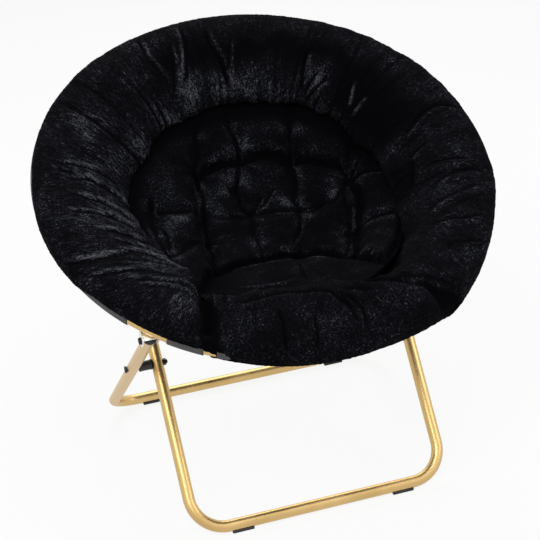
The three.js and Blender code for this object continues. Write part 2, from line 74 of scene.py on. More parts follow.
def crossing():
    along, back = REAR_PIVOT - FRONT_FOOT, FRONT_PIVOT - REAR_FOOT
    gap = REAR_FOOT - FRONT_FOOT
    share = (gap.y * back.z - gap.z * back.y) / (along.y * back.z - along.z * back.y)
    return FRONT_FOOT + along * share


CROSS = crossing()


# Meshes and pieces

# Angle past which an edge is shaded sharp, and how close points are to be one
SHARP = math.radians(32)
WELD = 2e-6


def shown(name, data):
    """A new object in the scene."""
    piece = bpy.data.objects.new(name, data)
    bpy.context.scene.collection.objects.link(piece)
    return piece


def smooth(mesh):
    mesh.polygons.foreach_set("use_smooth", [True] * len(mesh.polygons))


def piece_from(bm, name, material, place=None, sharp=SHARP, weld=WELD):
    """A finished mesh object at the origin, its place in its mesh, faces pointing out."""
    if weld is not None:
        bmesh.ops.remove_doubles(bm, verts=bm.verts, dist=weld)
    bmesh.ops.recalc_face_normals(bm, faces=bm.faces)
    if place is not None:
        bm.transform(place)
    mesh = bpy.data.meshes.new(name)
    bm.to_mesh(mesh)
    bm.free()
    smooth(mesh)
    if sharp is not None:
        mesh.set_sharp_from_angle(angle=sharp)
    mesh.materials.append(material)
    piece = shown(name, mesh)
    return piece


def stand_in(bm, name, node, body, material, place=None):
    """A rigid piece in the place of a solid, on the solid's body."""
    made = piece_from(bm, name, material, place)
    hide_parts(node)
    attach(made, body)


def applied(piece):
    """Bakes the piece's modifiers into its mesh."""
    bpy.context.view_layer.update()
    graph = bpy.context.evaluated_depsgraph_get()
    mesh = bpy.data.meshes.new_from_object(piece.evaluated_get(graph), depsgraph=graph)
    piece.modifiers.clear()
    piece.data = mesh
    smooth(mesh)
    return piece


def subdivided(piece):
    finer = piece.modifiers.new("finer", "SUBSURF")
    finer.levels = finer.render_levels = 1
    return applied(piece)


def positions(mesh):
    co = np.zeros(len(mesh.vertices) * 3)
    mesh.vertices.foreach_get("co", co)
    return co.reshape(-1, 3)


def normals_of(mesh):
    normals = np.zeros(len(mesh.vertices) * 3)
    mesh.vertices.foreach_get("normal", normals)
    return normals.reshape(-1, 3)


def put_positions(mesh, co):
    mesh.vertices.foreach_set("co", co.astype(np.float32).ravel())
    mesh.update()


def verts_in(geom):
    return [g for g in geom if isinstance(g, bmesh.types.BMVert)]


def edges_in(geom):
    return [g for g in geom if isinstance(g, bmesh.types.BMEdge)]


def extruded(bm, faces, step):
    """Draws faces out by a step; gives the vertices at the far end."""
    far = verts_in(bmesh.ops.extrude_face_region(bm, geom=faces)["geom"])
    bmesh.ops.translate(bm, verts=far, vec=step)
    return far


def revolved(bm, geom, steps, angle=2 * math.pi, centre=(0, 0, 0), axis=(0, 0, 1)):
    """Spins geometry round an axis, closing on itself in a full turn; gives what ends it."""
    return bmesh.ops.spin(bm, geom=geom, cent=centre, axis=axis, dvec=(0, 0, 0), angle=angle,
                          space=Matrix.Identity(4), steps=steps, use_merge=angle == 2 * math.pi,
                          use_normal_flip=False, use_duplicate=False)["geom_last"]


def cut(bm, geom, point, normal):
    bmesh.ops.bisect_plane(bm, geom=geom, dist=1e-6, plane_co=point, plane_no=normal,
                           clear_inner=False, clear_outer=False)


def chain(bm, points, closed=False):
    """Vertices in a row with an edge between neighbours."""
    verts = [bm.verts.new(p) for p in points]
    edges = [bm.edges.new(pair) for pair in zip(verts, verts[1:])]
    if closed:
        edges.append(bm.edges.new((verts[-1], verts[0])))
    return verts, edges


def spun(bm, points, steps, closed=False):
    """Turns a profile of (radius, height) round the Z axis."""
    verts, edges = chain(bm, [(r, 0, z) for r, z in points], closed)
    revolved(bm, verts + edges, steps)
    bmesh.ops.remove_doubles(bm, verts=bm.verts, dist=1e-6)


def bevel(bm, edges, width):
    bmesh.ops.bevel(bm, geom=edges, offset=width, offset_type="OFFSET", segments=2,
                    profile=0.5, affect="EDGES", clamp_overlap=True, material=-1)


def edge_bevel(bm):
    """Breaks every edge sharper than 30 degrees."""
    sharp = [e for e in bm.edges
             if len(e.link_faces) == 2 and e.calc_face_angle() > math.radians(30)]
    bevel(bm, sharp, EDGE_BREAK)


# Materials

class Finish:
    """A node material built step by step on one Principled shader."""

    def __init__(self, name, colour, roughness, metallic=0.0):
        self.material = bpy.data.materials.new(name)
        self.material.use_nodes = True
        self.tree = self.material.node_tree
        self.shader = self.tree.nodes["Principled BSDF"]
        self.set("Base Color", (*colour, 1))
        self.set("Roughness", roughness)
        self.set("Metallic", metallic)
        self.place = self.node("ShaderNodeTexCoord").outputs["Object"]

    def set(self, socket, value):
        self.shader.inputs[socket].default_value = value

    def node(self, kind, **values):
        made = self.tree.nodes.new(kind)
        for name, value in values.items():
            setattr(made, name, value)
        return made

    def link(self, start, end):
        self.tree.links.new(start, end)

    def mapped(self, rotation=(0, 0, 0), scale=(1, 1, 1)):
        mapping = self.node("ShaderNodeMapping")
        mapping.inputs["Rotation"].default_value = rotation
        mapping.inputs["Scale"].default_value = scale
        self.link(self.place, mapping.inputs["Vector"])
        return mapping.outputs["Vector"]

    def noise(self, scale, detail=3.0, roughness=0.5, vector=None):
        made = self.node("ShaderNodeTexNoise")
        made.inputs["Scale"].default_value = scale
        made.inputs["Detail"].default_value = detail
        made.inputs["Roughness"].default_value = roughness
        self.link(vector or self.place, made.inputs["Vector"])
        return made.outputs["Fac"]

    def wave(self, scale, direction, distortion=0.0, vector=None):
        made = self.node("ShaderNodeTexWave", wave_type="BANDS", bands_direction=direction)
        made.inputs["Scale"].default_value = scale
        made.inputs["Distortion"].default_value = distortion
        self.link(vector or self.place, made.inputs["Vector"])
        return made.outputs["Fac"]

    def math(self, operation, first, second):
        made = self.node("ShaderNodeMath", operation=operation)
        for socket, value in zip(made.inputs, (first, second)):
            if isinstance(value, (int, float)):
                socket.default_value = value
            else:
                self.link(value, socket)
        return made.outputs[0]

    def ramp(self, value, stops):
        made = self.node("ShaderNodeValToRGB")
        elements = made.color_ramp.elements
        while len(elements) < len(stops):
            elements.new(0.5)
        for element, (place, colour) in zip(elements, stops):
            element.position = place
            element.color = (*colour, 1) if len(colour) == 3 else colour
        self.link(value, made.inputs["Fac"])
        return made.outputs["Color"]

    def colour(self, value, stops):
        self.link(self.ramp(value, stops), self.shader.inputs["Base Color"])

    def vary_roughness(self, value, low, high):
        self.link(self.ramp(value, [(0.25, (low,) * 3), (0.75, (high,) * 3)]),
                  self.shader.inputs["Roughness"])

    def bump(self, *layers):
        """Layers of (height, distance in metres), one on the other."""
        normal = None
        for height, distance in layers:
            made = self.node("ShaderNodeBump")
            made.inputs["Strength"].default_value = 1.0
            made.inputs["Distance"].default_value = distance
            self.link(height, made.inputs["Height"])
            if normal is not None:
                self.link(normal, made.inputs["Normal"])
            normal = made.outputs["Normal"]
        self.link(normal, self.shader.inputs["Normal"])


def plush():
    """Short black pile: the tone attribute holds painted shade in the seams and painted highlight on
    the flanks of the folds.
    """
    fur = Finish("black_plush", (0.004, 0.004, 0.006), 0.8)
    tone_with_painted_light = fur.node("ShaderNodeAttribute", attribute_name="tone_with_painted_light").outputs["Fac"]
    lay = fur.node("ShaderNodeAttribute", attribute_name="lay").outputs["Vector"]
    streak = fur.noise(240, 4, 0.8, lay)
    pile = fur.noise(310, 3, 0.8)
    brushing_and_painted_light = fur.noise(14, 3, 0.6)
    patch = fur.math("MULTIPLY", fur.math("ADD", brushing_and_painted_light, 0.5), fur.math("MULTIPLY", pile, streak))
    # Base colour: the tone attribute with its painted highlight and painted shade, times random pile
    # patches
    tone = fur.math("MULTIPLY", tone_with_painted_light, fur.math("POWER", fur.math("MULTIPLY", patch, 3.8), 3))
    fur.colour(tone, [(0.03, (0.0012, 0.0012, 0.0018)), (0.25, (0.0034, 0.0034, 0.0048)),
                      (0.5, (0.01, 0.0104, 0.0134)), (1.0, (0.07, 0.073, 0.086))])
    fur.set("Sheen Weight", 0.004)
    fur.set("Sheen Roughness", 0.4)
    fur.set("Sheen Tint", (0.7, 0.74, 0.85, 1))
    fur.set("Specular IOR Level", 0.012)
    fur.bump((pile, 0.0012), (streak, 0.0026))
    return fur.material


def woven():
    """Dark grey woven cover cloth."""
    cloth = Finish("grey_woven_cloth", (0.04, 0.04, 0.043), 0.86)
    turned = cloth.mapped(rotation=(-TILT, 0, 0.06))
    threads = [cloth.wave(260, d, 0.6, turned) for d in "XYZ"]
    weave = cloth.math("ADD", cloth.math("ADD", threads[0], threads[1]), threads[2])
    shade = cloth.math("MULTIPLY", weave, 0.33)
    slub = cloth.noise(90, 3, 0.6, turned)
    cloth.colour(cloth.math("MULTIPLY", shade, cloth.math("ADD", slub, 0.4)),
                 [(0.1, (0.018, 0.018, 0.019)), (0.8, (0.078, 0.077, 0.078))])
    cloth.vary_roughness(slub, 0.8, 0.95)
    cloth.set("Sheen Weight", 0.15)
    cloth.bump((weave, 0.00035), (slub, 0.0004))
    return cloth.material


def gold_coat():
    """Satin gold coating on tube, with a faint drawn grain and cloudy wear."""
    gold = Finish("satin_gold", (0.63, 0.43, 0.18), 0.33, 1.0)
    cloud = gold.noise(14, 3, 0.55)
    grain = gold.noise(520, 2, 0.6)
    gold.colour(cloud, [(0.3, (0.59, 0.4, 0.16)), (0.7, (0.68, 0.475, 0.21))])
    gold.vary_roughness(gold.math("MULTIPLY", cloud, gold.math("ADD", grain, 0.5)), 0.3, 0.42)
    gold.bump((grain, 0.00003))
    return gold.material


def plated():
    """Pale plated sheet steel with rolling marks."""
    steel = Finish("plated_steel", (0.78, 0.78, 0.76), 0.3, 1.0)
    marks = steel.noise(60, 4, 0.6, steel.mapped(scale=(1, 9, 1)))
    steel.colour(marks, [(0.3, (0.66, 0.66, 0.64)), (0.7, (0.86, 0.86, 0.84))])
    steel.vary_roughness(marks, 0.24, 0.42)
    steel.bump((marks, 0.00006))
    return steel.material


def black_bolt():
    bolt = Finish("blackened_steel", (0.02, 0.02, 0.022), 0.38, 0.8)
    wear = bolt.noise(240, 3, 0.6)
    bolt.colour(wear, [(0.35, (0.012, 0.012, 0.013)), (0.8, (0.05, 0.05, 0.052))])
    bolt.vary_roughness(wear, 0.3, 0.5)
    bolt.bump((wear, 0.00008))
    return bolt.material


def moulded(name, tone, roughness, grain_scale):
    """Black moulded plastic or rubber with a fine grain."""
    stuff = Finish(name, (tone,) * 3, roughness)
    grain = stuff.noise(grain_scale, 2, 0.5)
    dust = stuff.noise(35, 4, 0.6)
    stuff.colour(dust, [(0.3, (tone * 0.7,) * 3), (0.75, (tone * 1.7,) * 3)])
    stuff.vary_roughness(dust, roughness - 0.08, roughness + 0.1)
    stuff.bump((grain, 0.0001))
    return stuff.material


FUR, CLOTH, GOLD, PLATE, BOLT = plush(), woven(), gold_coat(), plated(), black_bolt()
PLASTIC = moulded("black_plastic", 0.014, 0.45, 700)
RUBBER = moulded("black_rubber", 0.018, 0.72, 420)


# Tube ring and leg frames

TUBE_SIDES, BEND_STEPS, RING_STEPS = 28, 18, 96


def capped_circle(bm, radius, place, sides=TUBE_SIDES):
    return bmesh.ops.create_circle(bm, segments=sides, radius=radius, cap_ends=True,
                                   matrix=place)["verts"]


def bent_tube(bm, corners):
    """A round tube: straight runs are extruded and each corner is spun."""
    start, towards = corners[0], (corners[1] - corners[0]).normalized()
    place = Matrix.Translation(start) @ towards.to_track_quat("Z", "Y").to_matrix().to_4x4()
    edges = list({e for v in capped_circle(bm, TUBE, place) for e in v.link_edges})
    here = start
    for i in range(1, len(corners)):
        into = (corners[i] - corners[i - 1]).normalized()
        last = i == len(corners) - 1
        out = into if last else (corners[i + 1] - corners[i]).normalized()
        back = 0 if last else BEND * math.tan(into.angle(out) / 2)
        there = corners[i] - into * back
        moved = bmesh.ops.extrude_edge_only(bm, edges=edges)["geom"]
        verts = verts_in(moved)
        bmesh.ops.translate(bm, verts=verts, vec=there - here)
        edges = [e for e in edges_in(moved) if all(v in verts for v in e.verts)]
        here = there
        if last:
            bmesh.ops.contextual_create(bm, geom=edges)
            continue
        axis = into.cross(out).normalized()
        centre = there + axis.cross(into) * BEND
        end = revolved(bm, verts + edges, BEND_STEPS, into.angle(out), centre, axis)
        edges = edges_in(end)
        here = corners[i] + out * back


def leg_frame(name, half, foot, pivot, body):
    up = (pivot - foot).normalized()
    top = up * ((pivot - foot).length + OVERHANG)
    left, right = Vector((-half, 0, 0)), Vector((half, 0, 0))
    bm = bmesh.new()
    bent_tube(bm, [foot + left + top, foot + left, foot + right, foot + right + top])
    stand_in(bm, name, name.replace("tube_", ""), body, GOLD)


def ring_half(name, node, start, end, body):
    """Half of the ring, between two azimuths."""
    bm = bmesh.new()
    place = Matrix.Rotation(start, 4, "Z") @ Matrix.Translation((RING, 0, 0)) @ Matrix.Rotation(
        math.pi / 2, 4, "X")
    circle = capped_circle(bm, TUBE, place)
    edges = list({e for v in circle for e in v.link_edges})
    last = revolved(bm, circle + edges, RING_STEPS, end - start)
    if not [g for g in last if isinstance(g, bmesh.types.BMFace)]:
        bmesh.ops.contextual_create(bm, geom=edges_in(last))
    stand_in(bm, name, node, body, GOLD, TO_SEAT)


FOLD_ANGLE = math.asin(-FOLD / RING)
END_GAP = 0.00015 / RING
ring_half("tube_ring_front", "front_ring_tube", math.pi + FOLD_ANGLE + END_GAP,
          2 * math.pi - FOLD_ANGLE - END_GAP, "front_ring")
ring_half("tube_ring_rear", "rear_ring_tube", -FOLD_ANGLE + END_GAP,
          math.pi + FOLD_ANGLE - END_GAP, "rear_ring")
leg_frame("front_leg_tube_frame", FRONT_HALF, FRONT_FOOT, REAR_PIVOT, "front_legs")
leg_frame("rear_leg_tube_frame", REAR_HALF, REAR_FOOT, FRONT_PIVOT, "rear_legs")


# Brackets, bolts, nuts, spacers, plugs and floor pads

CLEAR = 0.3 * MM
SHEET = 2.5 * MM
EAR_INNER = TUBE + 1.1 * MM
EAR_OUTER = EAR_INNER + SHEET
WEB_TOP = -12.5 * MM
EAR, WEB_HALF = 13 * MM, 17 * MM
SHANK, NUT_RADIUS, NUT_HEIGHT, BOLT_TAIL = 4 * MM, 7.4 * MM, 6 * MM, 9 * MM
WASHER, TIP = 0.6 * MM, 0.6 * MM
PAD_WALL, PAD_SOLE, PAD_LENGTH, PAD_INSET = 2.5 * MM, 9.5 * MM, 46 * MM, 26 * MM


def bracket(name, x, y, body):
    """Clevis of bent plate: two round-ended ears and the web that joins them under the tube."""
    bm = bmesh.new()
    ends = [Vector((0, EAR * math.cos(a), -DROP - EAR * math.sin(a)))
            for a in np.linspace(0, math.pi, 17)]
    outline = [Vector((0, WEB_HALF, WEB_TOP)), *ends, Vector((0, -WEB_HALF, WEB_TOP))]
    for low in (-EAR_OUTER, EAR_INNER):
        face = bm.faces.new([bm.verts.new(p + Vector((x + low, y, 0))) for p in outline])
        extruded(bm, [face], (SHEET, 0, 0))
    web = Matrix.Translation((x, y, WEB_TOP - SHEET / 2)) @ Matrix.Diagonal(
        (2 * EAR_INNER + 0.1 * MM, 2 * WEB_HALF, SHEET, 1))
    bmesh.ops.create_cube(bm, size=1, matrix=web)
    bmesh.ops.recalc_face_normals(bm, faces=bm.faces)
    edge_bevel(bm)
    stand_in(bm, "plate_" + name, name, body, PLATE, TO_SEAT)


def along_x(bm, profile, side, face, place, sides):
    """Turns a profile of (distance out from the face, radius) round a line along X."""
    verts, edges = chain(bm, [(0, r, d) for d, r in profile])
    before = set(bm.verts)
    revolved(bm, verts + edges, sides)
    mine = [v for v in bm.verts if v not in before or v in verts]
    turn = Matrix.Rotation(side * math.pi / 2, 4, "Y")
    bmesh.ops.transform(bm, matrix=Matrix.Translation((side * face, 0, 0)) @ turn, verts=mine)
    bmesh.ops.transform(bm, matrix=place, verts=mine)


def hex_piece(bm, side, face, height, radius, place):
    """Hexagon with chamfered corners, standing out from a face."""
    turn = Matrix.Rotation(side * math.pi / 2, 4, "Y")
    at = place @ Matrix.Translation((side * face, 0, 0)) @ turn
    base = capped_circle(bm, radius, at, 6)
    cap = [f for f in bm.faces if all(v in base for v in f.verts)]
    top = extruded(bm, cap, (at.to_3x3() @ Vector((0, 0, 1))).normalized() * height)
    rim = {e for v in top for e in v.link_edges if all(w in top for w in e.verts)}
    bevel(bm, list(rim), 0.8 * MM)


def bolt(name, side, face, tail, place, body):
    """Hexagon head with its washer face, and a plain shank."""
    bm = bmesh.new()
    hex_piece(bm, side, face + WASHER, 3.9 * MM, 7.3 * MM, place)
    along_x(bm, [(0, 0), (0, NUT_RADIUS), (WASHER, NUT_RADIUS), (WASHER, 0)], side, face,
            place, 32)
    reach = face - tail
    along_x(bm, [(-reach, 0), (-reach, 3.4 * MM), (-reach + TIP, SHANK), (0, SHANK), (0, 0)],
            side, face, place, 24)
    stand_in(bm, "hex_" + name, name, body, BOLT)


def nut(name, side, face, place, body, stub=None):
    """Hexagon nut on the inner side, with the bolt's end where the nut carries it."""
    bm = bmesh.new()
    hex_piece(bm, -side, -face, NUT_HEIGHT, NUT_RADIUS, place)
    if stub is not None:
        length, end = stub
        along_x(bm, [(-length, 0), (-length, SHANK), (end - TIP, SHANK), (end, 3.3 * MM),
                     (end, 0)], -side, -face, place, 24)
    stand_in(bm, "hex_" + name, name, body, BOLT)


def spacer(name, side, outer, inner, place, body):
    """Turned spacer between the leg frames, with a bead at each end."""
    long = outer - inner
    bm = bmesh.new()
    end = [(0, 4.3), (0, 10.2), (0.8, 11), (3, 11), (4, 10.3)]
    profile = [(d * MM, r * MM) for d, r in end]
    profile += [(long - d * MM, r * MM) for d, r in end[::-1]] + [(0, 4.3 * MM)]
    along_x(bm, profile, side, inner, place, 40)
    stand_in(bm, "turned_" + name, name, body, PLASTIC)


def leg_plug(name, x, foot, pivot, body):
    """Domed plug in the open top of a leg tube."""
    up = (pivot - foot).normalized()
    end = pivot + up * OVERHANG
    rim = TUBE + 0.8 * MM
    bm = bmesh.new()
    spun(bm, [(0, -12 * MM), (9.5 * MM, -12 * MM), (9.5 * MM, CLEAR), (rim, CLEAR),
              (rim, 2 * MM), (rim - 0.6 * MM, 3.6 * MM), (rim * 0.72, 5 * MM),
              (rim * 0.35, 5.7 * MM), (0, 5.8 * MM)], 40)
    place = Matrix.Translation((x, end.y, end.z)) @ up.to_track_quat("Z", "X").to_matrix().to_4x4()
    stand_in(bm, "domed_" + name, name, body, PLASTIC, place)


def floor_pad(name, x, y, body):
    """Rubber shoe clipped under a floor bar, with a flat sole."""
    outer, inner = TUBE + PAD_WALL, TUBE + CLEAR
    side_angle = math.acos(PAD_SOLE / outer)
    start = math.radians(40)
    bm = bmesh.new()
    over = [(outer * math.cos(a), -outer * math.sin(a))
            for a in np.linspace(start, side_angle, 5)]
    under = [(PAD_SOLE, -BAR_HEIGHT)]
    outline = over + under + [(-y0, z0) for y0, z0 in (over + under)[::-1]]
    hollow = [(-inner * math.cos(a), -inner * math.sin(a))
              for a in np.linspace(start, math.pi - start, 19)]
    low = Vector((x - PAD_LENGTH / 2, y, BAR_HEIGHT))
    face = bm.faces.new([bm.verts.new(low + Vector((0, p, q))) for p, q in outline + hollow])
    extruded(bm, [face], (PAD_LENGTH, 0, 0))
    bmesh.ops.recalc_face_normals(bm, faces=bm.faces)
    edge_bevel(bm)
    stand_in(bm, "shoe_" + name, name, body, RUBBER)


def place_at(point):
    return Matrix.Translation((0, point.y, point.z))


for hand, side in (("left", -1), ("right", 1)):
    bracket(f"{hand}_front_bracket", side * REAR_HALF, FRONT_BRACKET, "front_ring")
    bracket(f"{hand}_rear_bracket", side * FRONT_HALF, REAR_BRACKET, "rear_ring")
    for end, half, pivot, body in (("front", REAR_HALF, FRONT_PIVOT, "front_ring"),
                                   ("rear", FRONT_HALF, REAR_PIVOT, "rear_ring")):
        tilt = place_at(pivot) @ Matrix.Rotation(TILT, 4, "X")
        nut_face = half - EAR_OUTER - CLEAR
        bolt(f"{hand}_{end}_pivot_bolt", side, half + EAR_OUTER + CLEAR, nut_face - BOLT_TAIL,
             tilt, body)
        nut(f"{hand}_{end}_pivot_nut", side, nut_face, tilt, body)
    for end, half, foot, pivot, body in (
            ("front", FRONT_HALF, FRONT_FOOT, REAR_PIVOT, "front_legs"),
            ("rear", REAR_HALF, REAR_FOOT, FRONT_PIVOT, "rear_legs")):
        leg_plug(f"{hand}_{end}_leg_plug", side * half, foot, pivot, body)
        floor_pad(f"{hand}_{end}_floor_pad", side * (half - BEND - PAD_INSET), foot.y, body)
    outer_face, inner_face = REAR_HALF + TUBE + CLEAR, REAR_HALF - TUBE - CLEAR
    meet = FRONT_HALF + TUBE + CLEAR
    bolt(f"{hand}_cross_bolt", side, outer_face, meet, place_at(CROSS), "rear_legs")
    spacer(f"{hand}_cross_spacer", side, inner_face, meet, place_at(CROSS), "rear_legs")
    nut(f"{hand}_cross_nut", side, FRONT_HALF - TUBE - CLEAR, place_at(CROSS), "front_legs",
        stub=(2 * TUBE, BOLT_TAIL))

for node in nodes.values():
    if node.hide_render or "hinge" not in node.name:
        continue
    node.data.materials.clear()
    node.data.materials.append(PLATE)


# Soft parts

SHELL_DEPTH, MOUTH, MOUTH_DROP = 187 * MM, 436 * MM, 9 * MM
BOWL, BOWL_GRID = 303 * MM, 106
ROLL_SHIFT, ROLL_RISE = 12 * MM, 46 * MM
RIM_STEPS = 480
FOLD_REACH, FOLD_CUTS = 60 * MM, 41
LINING_GAP = 3 * MM
WINDOW, SLIT, SLIT_AWAY, HINGE_GAP = 88 * MM, 26 * MM, 126 * MM, 92 * MM
HINGE_X = math.sqrt(RING**2 - FOLD**2)


def shell_height(radius):
    share = np.minimum(1, radius / MOUTH)
    return -MOUTH_DROP - (SHELL_DEPTH - MOUTH_DROP) * (1 - share**2.05)


def ease(value, low, high):
    share = np.clip((value - low) / (high - low), 0, 1)
    return share * share * (3 - 2 * share)


def hump(distance, width):
    return np.exp(-((distance / width) ** 2))


def turn_apart(azimuth, place):
    """Signed angle from a place to an azimuth, the short way round."""
    return (azimuth - place + math.pi) % (2 * math.pi) - math.pi


def front_share(azimuth):
    return ease(-np.sin(azimuth), math.cos(math.radians(62)), math.cos(math.radians(24)))


def by_azimuth(azimuth, table):
    """Value at an azimuth, from a table of (degrees, value) that closes on itself."""
    places = np.radians([p for p, _ in table])
    return np.interp(azimuth, places, [v for _, v in table], period=2 * math.pi)


def fold_blend(piece):
    """Bakes the piece's place into its mesh."""
    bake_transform(piece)


def puffed(piece, held, pressure):
    """Blows the padding up a little between the places that are held, no further than the cap."""
    cap, frames = 7 * MM, 20
    group = piece.vertex_groups.new(name="held")
    for index in np.nonzero(held > 0.02)[0]:
        group.add([int(index)], float(held[index]), "REPLACE")
    start = positions(piece.data)
    cloth = piece.modifiers.new("puff", "CLOTH")
    cloth.settings.quality = 4
    cloth.settings.mass = 0.25
    cloth.settings.tension_stiffness = cloth.settings.compression_stiffness = 12
    cloth.settings.shear_stiffness = 5
    cloth.settings.bending_stiffness = 0.4
    cloth.settings.use_pressure = True
    cloth.settings.uniform_pressure_force = pressure
    cloth.settings.vertex_group_mass = "held"
    cloth.settings.effector_weights.gravity = 0
    cloth.collision_settings.use_collision = False
    cloth.collision_settings.use_self_collision = False
    cloth.point_cache.frame_start, cloth.point_cache.frame_end = 1, frames
    for number in range(1, frames + 1):
        bpy.context.scene.frame_set(number)
    graph = bpy.context.evaluated_depsgraph_get()
    moved = positions(piece.evaluated_get(graph).data)
    piece.modifiers.remove(cloth)
    bpy.context.scene.frame_set(1)
    piece.vertex_groups.clear()
    step = moved - start
    far = np.linalg.norm(step, axis=1, keepdims=True)
    step *= cap * np.tanh(far / cap) / np.maximum(far, 1e-9)
    put_positions(piece.data, start + step * (1 - held[:, None]))
    return piece


def tufted_pile(piece, layers):
    """Small swells along the normals, the tips of the pile: (size in metres, height) each."""
    mesh = piece.data
    co = positions(mesh)
    lift = np.zeros(len(co))
    for size, height in layers:
        lift += [height * noise.noise(Vector(p) / size) for p in co]
    put_positions(mesh, co + normals_of(mesh) * lift[:, None])


def spun_grid(points, steps):
    """A closed profile of (radius, height) turned round Z: the bmesh, the azimuth of each vertex
    and the number of its profile point."""
    bm = bmesh.new()
    spun(bm, points, steps, closed=True)
    bm.verts.index_update()
    co = np.array([v.co for v in bm.verts])
    radius = np.hypot(co[:, 0], co[:, 1])
    line = np.array(points)
    off = np.hypot(radius[:, None] - line[:, 0], co[:, 2][:, None] - line[:, 1])
    return bm, np.arctan2(co[:, 1], co[:, 0]), off.argmin(axis=1)


def cushion(bm, name, places, tone_with_painted_light, lay):
    """The mesh with every vertex put in its place, its pile tone with painted highlight and painted
    shade, and which way its pile lies.
    """
    # This layer holds the pile tone with painted highlight and painted shade
    brushing_and_painted_light = bm.verts.layers.float.new("tone_with_painted_light")
    lying = bm.verts.layers.float_vector.new("lay")
    for v, place, value, direction in zip(bm.verts, places, tone_with_painted_light, lay):
        v.co = place
        v[brushing_and_painted_light] = float(value)
        v[lying] = direction
    return piece_from(bm, name, FUR, TO_SEAT, sharp=None, weld=None)


def cover():
    """The cloth: a sleeve round the ring and the bowl that hangs from it, cut out at the brackets."""
    sleeve = TUBE + 1.6 * MM
    bowl = [(MOUTH * k / 18, float(shell_height(MOUTH * k / 18)) - 1 * MM) for k in range(1, 19)]
    turns = np.linspace(math.pi * 1.2, math.pi * 3.14, 26)
    round_tube = [(RING + sleeve * math.cos(a), sleeve * math.sin(a)) for a in turns]
    bm = bmesh.new()
    spun(bm, bowl + round_tube, 180)
    bmesh.ops.contextual_create(
        bm, geom=[e for e in bm.edges if e.is_boundary and e.verts[0].co.to_2d().length < 0.03])
    gaps = []
    for side in (-1, 1):
        front = math.atan2(FRONT_BRACKET, side * REAR_HALF)
        rear = math.atan2(REAR_BRACKET, side * FRONT_HALF)
        gaps += [(front, WINDOW, -1), (rear, WINDOW, -1),
                 (front - side * SLIT_AWAY / RING, SLIT, -1),
                 (math.atan2(FOLD, side * HINGE_X), HINGE_GAP, 4 * MM)]
    for azimuth, length, lowest in gaps:
        out = Vector((math.cos(azimuth), math.sin(azimuth), 0))
        along = Vector((-out.y, out.x, 0))
        for edge in (-length / 2, length / 2):
            near = [f for f in bm.faces
                    if f.calc_center_median().to_2d().length > 0.42
                    and (f.calc_center_median() - out * RING).length < 0.09]
            geom = near + list({e for f in near for e in f.edges}) + list(
                {v for f in near for v in f.verts})
            cut(bm, geom, out * RING + along * edge, along)
        gone = [f for f in bm.faces
                if abs((f.calc_center_median() - out * RING).dot(along)) < length / 2
                and f.calc_center_median().dot(out) > RING - sleeve - 3 * MM
                and f.calc_center_median().z > lowest]
        bmesh.ops.delete(bm, geom=gone, context="FACES")
    # Close cuts across the cloth along the fold line
    for at in np.linspace(FOLD - FOLD_REACH, FOLD + FOLD_REACH, FOLD_CUTS):
        cut(bm, bm.verts[:] + bm.edges[:] + bm.faces[:], (0, at, 0), (0, 1, 0))
    made = piece_from(bm, "cloth_cover", CLOTH, TO_SEAT, sharp=None)
    wall = made.modifiers.new("thickness", "SOLIDIFY")
    wall.thickness = 1.2 * MM
    wall.offset = 0
    applied(made)
    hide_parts("front_fabric_shell", "rear_fabric_shell")
    fold_blend(made)


# Rim cushion. Over the top from its outer edge to the lip over the bowl, and back underneath
RIM_TOP = [(479, -3), (479.5, 6), (477.5, 15), (472.5, 23), (464, 29), (453, 32), (440, 33),
           (426, 32.5), (411, 30), (396, 26), (381, 20), (367, 13.5), (353, 6), (341, -1),
           (330, -8), (320, -15), (311, -22.5), (303, -30), (296, -38), (290.5, -46),
           (286.5, -54), (285, -62), (287.5, -69), (294, -75), (303, -78.5)]
RIM_UNDER = [(318, -78), (334, -76.5), (350, -71.5), (375, -54), (400, -35), (425, -15),
             (436, -6), (444, 1), (448.5, 8.5), (454.5, 13.8), (462, 15.8), (469.5, 13.9),
             (475.6, 8)]
# How far the padding stands out past its plain outline, in mm, by azimuth in degrees
RIM_REACH = [(-175, 0), (-163, 2), (-150, 1), (-140, -5), (-129, -3), (-121, -8), (-116, -3),
             (-104, 2), (-92, 4), (-82, 4), (-73, 8), (-64, 15), (-57, 18), (-48, 10),
             (-39, 2), (-27, -3), (-17, -2), (-9, -5), (1, -7), (19, -3), (35, -3), (60, -5),
             (86, -9), (99, -9), (114, -4), (132, -3), (151, -3), (171, -5)]
RIM_CROWN = [(-160, 1), (-120, 1), (-60, 1.1), (0, 0.95), (45, 0.78), (90, 0.72), (135, 0.82)]
LEFT_CLEFT, RIGHT_CLEFT = math.radians(-120), math.radians(-58)
# Azimuth of each cleft in degrees, from the outer edge of the rim (0) to its lip (1)
LEFT_COURSE = ([0, 0.35, 0.55, 0.75, 1], [-118.5, -122, -126, -129, -131])
RIGHT_COURSE = ([0, 0.3, 0.42, 0.55, 0.75, 1], [-59.5, -61, -66, -72, -78, -80])
# How far the lip stands out from its plain circle: azimuth in degrees, mm
LIP_SWING = [(-179, -9), (-164, -18), (-151, -17), (-139, -12), (-132, 2), (-127, 40), (-122, 62),
             (-117, 50), (-111, 12), (-92, 0), (-82, 8), (-74, 55), (-66, 78), (-58, 70),
             (-51, 46), (-39, 26), (-24, 0), (-11, -9), (1, -14), (11, -14), (21, -24), (33, -14),
             (43, -8), (53, 0), (61, -9), (77, -13), (91, -12), (103, -17), (113, -14),
             (123, -8), (141, -20), (158, -6), (172, -4)]
# How strongly the rim is gathered, by azimuth in degrees
GATHERING = [(-175, 0.5), (-120, 0.5), (-59, 0.15), (-30, 0.2), (5, 0.2), (25, 0.4), (45, 0.4),
             (60, 0.35), (75, 0.35), (92, 0.4), (116, 0.5), (135, 0.6), (160, 0.7)]


